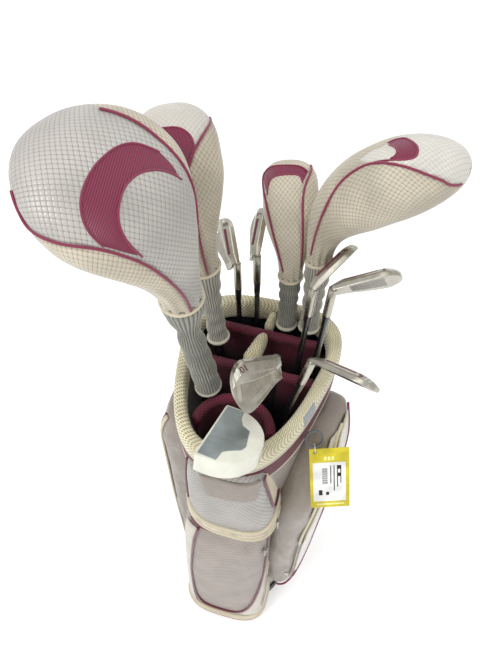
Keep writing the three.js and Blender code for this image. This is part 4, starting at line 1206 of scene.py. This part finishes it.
def trim_side_pockets():
    name = "right_side_pocket"
    slit = [(6, 730), (-6, 722), (-16, 700), (-23, 655), (-28, 598), (-34, 555), (-41, 511), (-43, 470)]
    # The dark cloth in the slit is painted shade.
    pocket_panel("side_slit", name, ([(a - 5.5, z) for a, z in slit], [(a + 5.5, z) for a, z in slit]),
                 M["gap"],
                 0.4, 1.6)
    for label, way in (("left", -1), ("right", 1)):
        pocket_line(f"side_slit_edge_{label}", name, [(a + way * 6.5, z) for a, z in slit], 2.6, M["cream"],
                    1.6)
    left = [(-34, 728), (-46, 700), (-50, 655)]
    right = [(-8, 728), (-25, 700), (-32, 655)]
    pocket_panel("side_top_panel", name, (left, right), M["pale"], 0.6, 1.0)
    pocket_panel("side_white_panel", name,
                 ([(3, 726), (-5, 700), (-12, 655), (-17, 598), (-23, 555), (-30, 511), (-36, 430),
                   (-39, 350),
                   (-46, 282)],
                  [(28, 728), (16, 700), (7, 655), (3, 598), (0, 540), (-2, 480), (-5, 400), (-11, 318),
                   (-28, 254)]), M["white"], 0.8, 1.4)
    border = [(40, 735), (30, 731), (18, 703), (9, 660), (4, 598), (1, 540), (-1, 480), (-4, 400),
              (-10, 318), (-26, 250), (-50, 220), (-80, 214)]
    pocket_line("side_piping", name, border, 2.2, M["piping"])
    pocket_line("side_lower_zip", name, [(-44, 470), (-44, 400), (-43, 320), (-46, 256)], 2.6,
                M["zip_plastic"], 0.6)
    zip_teeth("side_zip_teeth", name, [(-44, 470), (-44, 400), (-43, 320), (-46, 256)], M["zinc"], 3.0)
    name = "left_side_pocket"
    for label, turn, look in (("edge", -136, "cream"), ("rib", -142, "cream"), ("piping", -150, "piping")):
        path = [(turn + 16, 716), (turn + 4, 690), (turn, 640), (turn, 420), (turn, 160), (turn + 6, 96),
                (turn + 30, 76)]
        pocket_line(f"left_{label}", name, path, 2.4 if look == "cream" else 1.8, M[look], 0.6)
    path = [(90, 716), (94, 690), (100, 640), (102, 420), (100, 160), (94, 96), (80, 76)]
    pocket_line("left_back_piping", name, path, 2.0, M["piping"], 0.6)


# ---- the tag -------------------------------------------------------------------------------

TAG = dict(corner=(118, -69, 743), width=65, height=112, thickness=1.2)
TAG_ACROSS = unit(np.array([0.953, 0.29, 0.056]))
TAG_OUT = unit(np.array([0.224, -0.834, 0.509]))
TAG_UP = unit(np.cross(TAG_OUT, TAG_ACROSS))


def tag_print(label, rectangles, material, lift, thickness):
    """Printed areas on the tag, as thin plates: (left, top, width, height) from its top left corner."""
    parts = []
    for left, top, width, height in rectangles:
        corner = np.array(TAG["corner"]) + TAG_OUT * (TAG["thickness"] + lift)
        grid = [[corner + TAG_ACROSS * (left + width * u) - TAG_UP * (top + height * v)
                 for u in np.linspace(0, 1, 4)] for v in np.linspace(1, 0, 4)]
        parts.append(ribbon(grid, thickness))
    points, faces, uvs = merged(parts)
    make(label, points, faces, material, "tag", "hang_tag", uvs=uvs, smooth=False)


def build_tag():
    tag_print("tag_label", [(5, 26, 54, 74)], M["paper"], 0.05, 0.15)
    lines = [(50 - 5.5 * k, 32, 1.6, 34 + 7 * (k % 3)) for k in range(4)]
    boxes = [(46, 32, 5, 7), (46, 46, 5, 7), (14, 78, 6, 10), (26, 82, 5, 6)]
    bars = [(20, 36 + 2.1 * k, 9, 0.7 + 0.5 * (k % 2)) for k in range(15)]
    tag_print("tag_print", lines + boxes + bars, M["ink"], 0.22, 0.06)
    dark = [(24, 15, 4, 7), (30, 15, 4, 7), (36, 15, 4, 7), (10, 104, 46, 3.4)]
    tag_print("tag_band", dark, M["olive"], 0.05, 0.1)


# ---- the clubs -----------------------------------------------------------------------------

def rounded(profile, radius, steps=4):
    """A closed profile with its corners eased."""
    p = np.asarray(profile, float)
    out = []
    for before, corner, after in zip(np.roll(p, 1, axis=0), p, np.roll(p, -1, axis=0)):
        reach_in = min(radius, np.linalg.norm(before - corner) * 0.4)
        reach_out = min(radius, np.linalg.norm(after - corner) * 0.4)
        a = corner + unit(before - corner) * reach_in
        b = corner + unit(after - corner) * reach_out
        for s in np.linspace(0, 1, steps):
            out.append((1 - s) ** 2 * a + 2 * s * (1 - s) * corner + s * s * b)
    return np.array(out)


def blade_section(t, blade, loft_angle):
    """An iron's section at t from heel to toe: from the face's foot over the topline and down the back."""
    rounding = math.sqrt(max(1 - ((t - 0.7) / 0.305) ** 2, 0.02)) if t > 0.7 else 1
    heel_ease = min(1, 0.45 + t * 3.2)
    growth = float(smoothstep(t, -0.1, 0.85))
    rise = blade["toe_height"] - blade["heel_height"]
    full = math.cos(loft_angle) * (blade["heel_height"] + rise * growth)
    middle = full * 0.44 + 3 * t
    top = middle + (full - middle) * rounding
    bottom = middle - middle * rounding * (0.9 + 0.1 * heel_ease)
    height = top - bottom
    hollow = blade["cavity"] * min(max((t - 0.1) / 0.12, 0), 1) * min(max((0.93 - t) / 0.1, 0), 1)
    lean = math.tan(loft_angle)
    line = blade["topline"]
    depth = (line * 1.2 + (blade["sole"] - line * 1.2) * heel_ease) * (0.35 + 0.65 * rounding)
    back = lambda share: blade["lead"] - lean * (height * share + bottom)
    return np.array([
        [back(0.05), bottom + height * 0.05],
        [back(1), top],
        [back(1) - line, top - 1],
        [back(0.86) - line - 1, bottom + height * 0.86],
        [back(0.8) - line - 1 + hollow, bottom + height * 0.8],
        [back(0.36) - line - 3 + hollow, bottom + height * 0.36],
        [back(0.3) - depth * 0.82, bottom + height * 0.27],
        [back(0.1) - depth * 0.96, bottom + height * 0.1],
        [back(0) - depth * 0.5, bottom - 0.6],
    ])


def blade_point(blade, loft_angle, t, place, lift=0.0):
    """A point on a blade: place 6 to 8 runs over the sole, and 0 to 1 up the face."""
    section = blade_section(t, blade, loft_angle)
    index = int(math.floor(place)) % 9
    share = place - math.floor(place)
    a, b = section[index], section[(index + 1) % 9]
    normal = np.array([b[1] - a[1], a[0] - b[0]])
    y, z = a + (b - a) * share - unit(normal) * lift
    return np.array([-4 + t * (blade["length"] + 4), y, z])


def hosel_rings(lie, radius, start):
    lean = -(90 - lie) * DEG
    rings = []
    profile = [(0.95, start), (1, start + 16), (1, HOSEL["length"] - 9), (0.94, HOSEL["length"] - 8),
               (1, HOSEL["length"] - 7), (0.98, HOSEL["length"] - 1), (0.90, HOSEL["length"])]
    for share, z in profile:
        ring = []
        for a in np.linspace(0, 2 * math.pi, 32, endpoint=False):
            x, y = radius * share * math.cos(a), radius * share * math.sin(a)
            ring.append((x * math.cos(lean) + z * math.sin(lean), y,
                         -x * math.sin(lean) + z * math.cos(lean)))
        rings.append(ring)
    return rings


def put_head(name, parts, material, slot, weighted=True):
    points, faces, uvs = merged([outward(*part) for part in parts])
    piece = make(f"{name}_head_body", to_world(name, points), faces, material, name, slot, uvs=uvs,
                 replaces=(f"{name}_head",))
    if weighted:
        piece.modifiers.new("Weighted normals", "WEIGHTED_NORMAL")
    return piece


def head_patch(name, label, grid, material, slot, lift=0.15, thickness=0.2):
    points, faces, uvs = ribbon(grid, thickness, lift)
    make(f"{name}_{label}", to_world(name, points), faces, material, name, slot, uvs=uvs)


def head_text(name, label, text, origin, right, up, size, material, slot):
    """A raised numeral on a head, given in its own frame."""
    curve = bpy.data.curves.new(f"{name}_{label}", "FONT")
    curve.body = text
    curve.size = size * MM
    curve.extrude = 0.00015
    curve.align_x = curve.align_y = "CENTER"
    holder = bpy.data.objects.new(f"{name}_{label}_curve", curve)
    bpy.context.scene.collection.objects.link(holder)
    mesh = bpy.data.meshes.new_from_object(holder)
    bpy.data.objects.remove(holder)
    flat = np.array([v.co for v in mesh.vertices]) / MM
    right, up = unit(np.asarray(right, float)), np.asarray(up, float)
    up = unit(up - right * up.dot(right))
    out = np.cross(right, up)
    world = to_world(name, np.asarray(origin) + flat[:, :1] * right + flat[:, 1:2] * up + flat[:, 2:] * out)
    faces = [tuple(p.vertices) for p in mesh.polygons]
    make(f"{name}_{label}", world, faces, material, name, slot, smooth=False)


def build_iron(name):
    club = CLUBS[name]
    blade = WEDGE if club["kind"] == "wedge" else IRON
    loft_angle = club["loft"] * DEG
    slot = "wedge_head" if club["kind"] == "wedge" else "iron_head"
    rings = []
    spaced = np.concatenate([np.linspace(0, 0.7, 30, endpoint=False),
                             0.7 + 0.3 * np.sin(np.linspace(0, 1.52, 26))])
    for t in spaced:
        section = rounded(blade_section(t, blade, loft_angle), 1.6)
        rings.append([(-4 + t * (blade["length"] + 4), y, z) for y, z in section])
    body = loft(rings)
    hosel = loft(hosel_rings(club["lie"], HOSEL["radius"], 4))
    put_head(name, [body, hosel], M["steel"], slot)
    point = lambda t, place, lift=0.0: blade_point(blade, loft_angle, t, place, lift)
    stripe = [[point(t, place, 0.2) for place in np.linspace(7.12, 7.5, 4)]
              for t in np.linspace(0.2, 0.7, 24)]
    if club["kind"] == "iron":
        head_patch(name, "sole_stripe", stripe, M["stripe"], slot, 0.0, 0.3)
    for k, t in enumerate((0.86, 0.91)):
        band = [[point(u, place, 0.2) for place in np.linspace(7.1, 7.9, 10)]
                for u in (t, t + 0.012, t + 0.022)]
        head_patch(name, f"toe_band_{k + 1}", band, M["polished"], slot, 0.0, 0.3)
    # The score lines are dark strips: painted shade in the grooves.
    for k in range(11):
        share = 0.1 + 0.062 * k
        groove = [[point(t, share + d, 0.0) for d in (0.0, 0.008)] for t in np.linspace(0.26, 0.76, 8)]
        head_patch(name, f"score_line_{k + 1}", groove, M["frame"], slot, 0.02, 0.14)
    a, b, c = point(0.79, 7.55), point(0.80, 7.55), point(0.79, 7.75)
    normal = unit(np.cross(b - a, c - a))
    if normal[2] > 0:
        normal = -normal
    toe_way = b - a
    head_text(name, "numeral", club["number"], a + normal * 0.2, toe_way,
              np.cross(normal, unit(toe_way)), 13, M["stripe"], slot)


def ellipsoid_rings(size, rows=40, corners=72):
    length, depth, height = size
    rings = []
    for phi in np.linspace(0.02, math.pi - 0.02, rows):
        a = np.linspace(0, 2 * math.pi, corners, endpoint=False)
        x = length / 2 * math.sin(phi) * np.cos(a) + length * DOME["toward"]
        y = np.minimum(depth / 2 * math.sin(phi) * np.sin(a), depth * 0.43) - depth * DOME["back"]
        z = np.full(corners, height / 2 * math.cos(phi) + height * 0.5)
        rings.append(np.stack([x, y, z], axis=1))
    return rings


def build_wood(name):
    club = CLUBS[name]
    length, depth, height = club["size"]
    put_head(name, [loft(ellipsoid_rings(club["size"])),
                    loft(hosel_rings(club["lie"], HOSEL["radius"],
                                     height * 0.3))], M["wood"], "wood_head", False)
    flat = depth * (0.43 - DOME["back"])
    for k in range(7):
        z = height * (0.26 + 0.08 * k)
        line = [[(length * (DOME["toward"] + s), flat + 0.1, z + d) for d in (0, 0.5)] for s in (-0.16, 0.16)]
        head_patch(name, f"score_line_{k + 1}", line, M["steel"], "wood_head", 0.0, 0.15)
    centre = np.array([length * DOME["toward"], -depth * DOME["back"], height * 0.5])
    plate = []
    for v in np.linspace(-0.34, 0.34, 14):
        row = []
        for u in np.linspace(-0.22, 0.22, 14):
            way = np.array([u * length, v * depth, 0])
            inside = 1 - (2 * u) ** 2 - (2 * v) ** 2
            down = np.array([0, 0, height / 2 * math.sqrt(inside)])
            row.append(centre + way - down - np.array([0, 0, 0.2]))
        plate.append(row)
    head_patch(name, "sole_plate", plate, M["steel"], "wood_head", 0.0, 0.4)


def build_putter(name):
    m = MALLET
    right, left = m["width"] - m["heel"], -m["heel"]
    centre_x = m["width"] / 2 - m["heel"]
    back = m["depth"] - m["corner"] - m["front"]
    curve = [(centre_x + m["width"] / 2 * math.cos(a), -m["corner"] + back * math.sin(a))
             for a in np.linspace(0, -math.pi, 72)]
    outline_points = np.array([(left, m["front"]), (right, m["front"])] + curve)
    centre = outline_points.mean(axis=0)
    ring_points = rounded(outline_points, 3, 3)
    edge = m["edge"]
    rings = []
    for drawn, z in [(6, -edge), (1.2, -edge), (0.3, -edge * 0.7), (0, 0), (0, m["height"]),
                     (0.3, m["height"] + edge * 0.7), (1.2, m["height"] + edge), (6, m["height"] + edge)]:
        shrink = 1 - drawn / np.linalg.norm(ring_points - centre, axis=1)
        flat = centre + (ring_points - centre) * shrink[:, None]
        rings.append(np.column_stack([flat, np.full(len(flat), z)]))
    put_head(name, [loft(rings), loft(hosel_rings(CLUBS[name]["lie"], HOSEL["radius"], 10))], M["putter"],
             "putter_head")
    corners = smooth_steps(INSERT)
    middle = corners.mean(axis=0)
    rings = [np.column_stack([middle + (corners - middle) * scale, np.full(len(corners), z)])
             for scale, z in ((1.0, -edge + 0.5), (1.0, -edge - 0.35), (0.985, -edge - 0.6))]
    points, faces, uvs = outward(*loft(rings))
    make("putter_insert", to_world(name, points), faces, M["insert"], name, "putter_head", uvs=uvs,
         smooth=False)
    sight = [[(centre_x + d, -8 - 44 * v, m["height"] + edge + 0.1) for d in (-0.8, 0.8)]
             for v in np.linspace(0, 1, 6)]
    head_patch(name, "sight_line", sight, M["ink"], "putter_head", 0.0, 0.2)
    face = [[(left + 3 + (right - left - 6) * u, m["front"] + 0.05, 4 + 18 * v)
             for u in np.linspace(0, 1, 12)] for v in np.linspace(0, 1, 4)]
    head_patch(name, "face_plate", face, M["insert"], "putter_head", 0.0, 0.3)


def smooth_steps(corners, per_side=6):
    """A closed outline with points along its straight sides."""
    p = np.array(corners, float)
    share = np.linspace(0, 1, per_side, endpoint=False)[:, None]
    return np.vstack([a + (b - a) * share for a, b in zip(p, np.roll(p, -1, axis=0))])


BUILDERS = {"wood": build_wood, "iron": build_iron, "wedge": build_iron, "putter": build_putter}


def build_clubs():
    for name, club in CLUBS.items():
        BUILDERS[club["kind"]](name)
        for part in ("grip", "shaft"):
            dress(f"{name}_{part}", M[part])


def dress(node, material):
    """Gives a CAD node that stays in view its material."""
    shown = frame["nodes"][node]
    shown.data.materials.clear()
    shown.data.materials.append(material)


# ---- the studio ----------------------------------------------------------------------------

CAMERA = dict(place=(0.122, -0.472, 1.466), turn=15, dip=48, lens=26.93)


FLOOR_REACH = 30                 # metres from the middle to each edge
FLOOR_GLOW = 0.3
WORLD_STRENGTH = 0.78
LOOK_AT = Vector((0, 0, 0.6))
# (name, place in metres, size, watts)
LIGHTS = [("key", (-1.2, -1.8, 2.9), 1.1, 32), ("fill", (2.2, -1.0, 2.2), 1.8, 3),
          ("back", (0.3, 2.2, 2.6), 2.0, 5), ("top", (0, 0, 3.4), 1.4, 9)]


def build_stage():
    mesh = bpy.data.meshes.new("floor")
    corners = [(x * FLOOR_REACH, y * FLOOR_REACH, 0) for x, y in ((-1, -1), (1, -1), (1, 1), (-1, 1))]
    mesh.from_pydata(corners, [], [(0, 1, 2, 3)])
    floor = bpy.data.objects.new("floor", mesh)
    bpy.context.scene.collection.objects.link(floor)
    f = Finish("studio_floor", (250, 250, 250), 0.9, Emission_Color=(1, 1, 1, 1),
               Emission_Strength=FLOOR_GLOW)
    f.colour(mottled(f, (249, 249, 249), 0.01, 3))
    floor.data.materials.append(f.material)
    for label, place, size, power in LIGHTS:
        lamp = bpy.data.lights.new(label, "AREA")
        lamp.size = size
        lamp.energy = power
        light = bpy.data.objects.new(label, lamp)
        light.location = place
        light.rotation_euler = (LOOK_AT - Vector(place)).to_track_quat("-Z", "Y").to_euler()
        bpy.context.scene.collection.objects.link(light)
    world = bpy.data.worlds.new("studio")
    world.use_nodes = True
    background = world.node_tree.nodes["Background"]
    background.inputs["Color"].default_value = (1, 1, 1, 1)
    background.inputs["Strength"].default_value = WORLD_STRENGTH
    bpy.context.scene.world = world
    bpy.context.scene.view_settings.view_transform = "Standard"


def build_camera():
    data = bpy.data.cameras.new("camera")
    data.lens = CAMERA["lens"]
    camera = bpy.data.objects.new("camera", data)
    turn, dip = CAMERA["turn"] * DEG, CAMERA["dip"] * DEG
    right = Vector((math.cos(turn), math.sin(turn), 0))
    up = Vector((-math.sin(turn) * math.sin(dip), math.cos(turn) * math.sin(dip), math.cos(dip)))
    back = right.cross(up)
    spin = Matrix((right, up, back)).transposed().to_4x4()
    camera.matrix_world = Matrix.Translation(CAMERA["place"]) @ spin
    bpy.context.scene.collection.objects.link(camera)
    bpy.context.scene.camera = camera


# ---- assembly ------------------------------------------------------------------------------

build_covers()
build_wall()
build_mouth()
build_pockets()
build_tag()
build_clubs()
for node, look in (("base_tray", "moulded"), ("rim_frame", "frame"), ("hang_tag", "card"),
                   ("tag_tie", "nylon"),
                   ("towel_ring", "hook"), ("upper_zip_pull", "zinc"), ("lower_zip_pull", "zinc"),
                   ("side_zip_pull", "zinc")):
    dress(node, M[look])
build_stage()
build_camera()
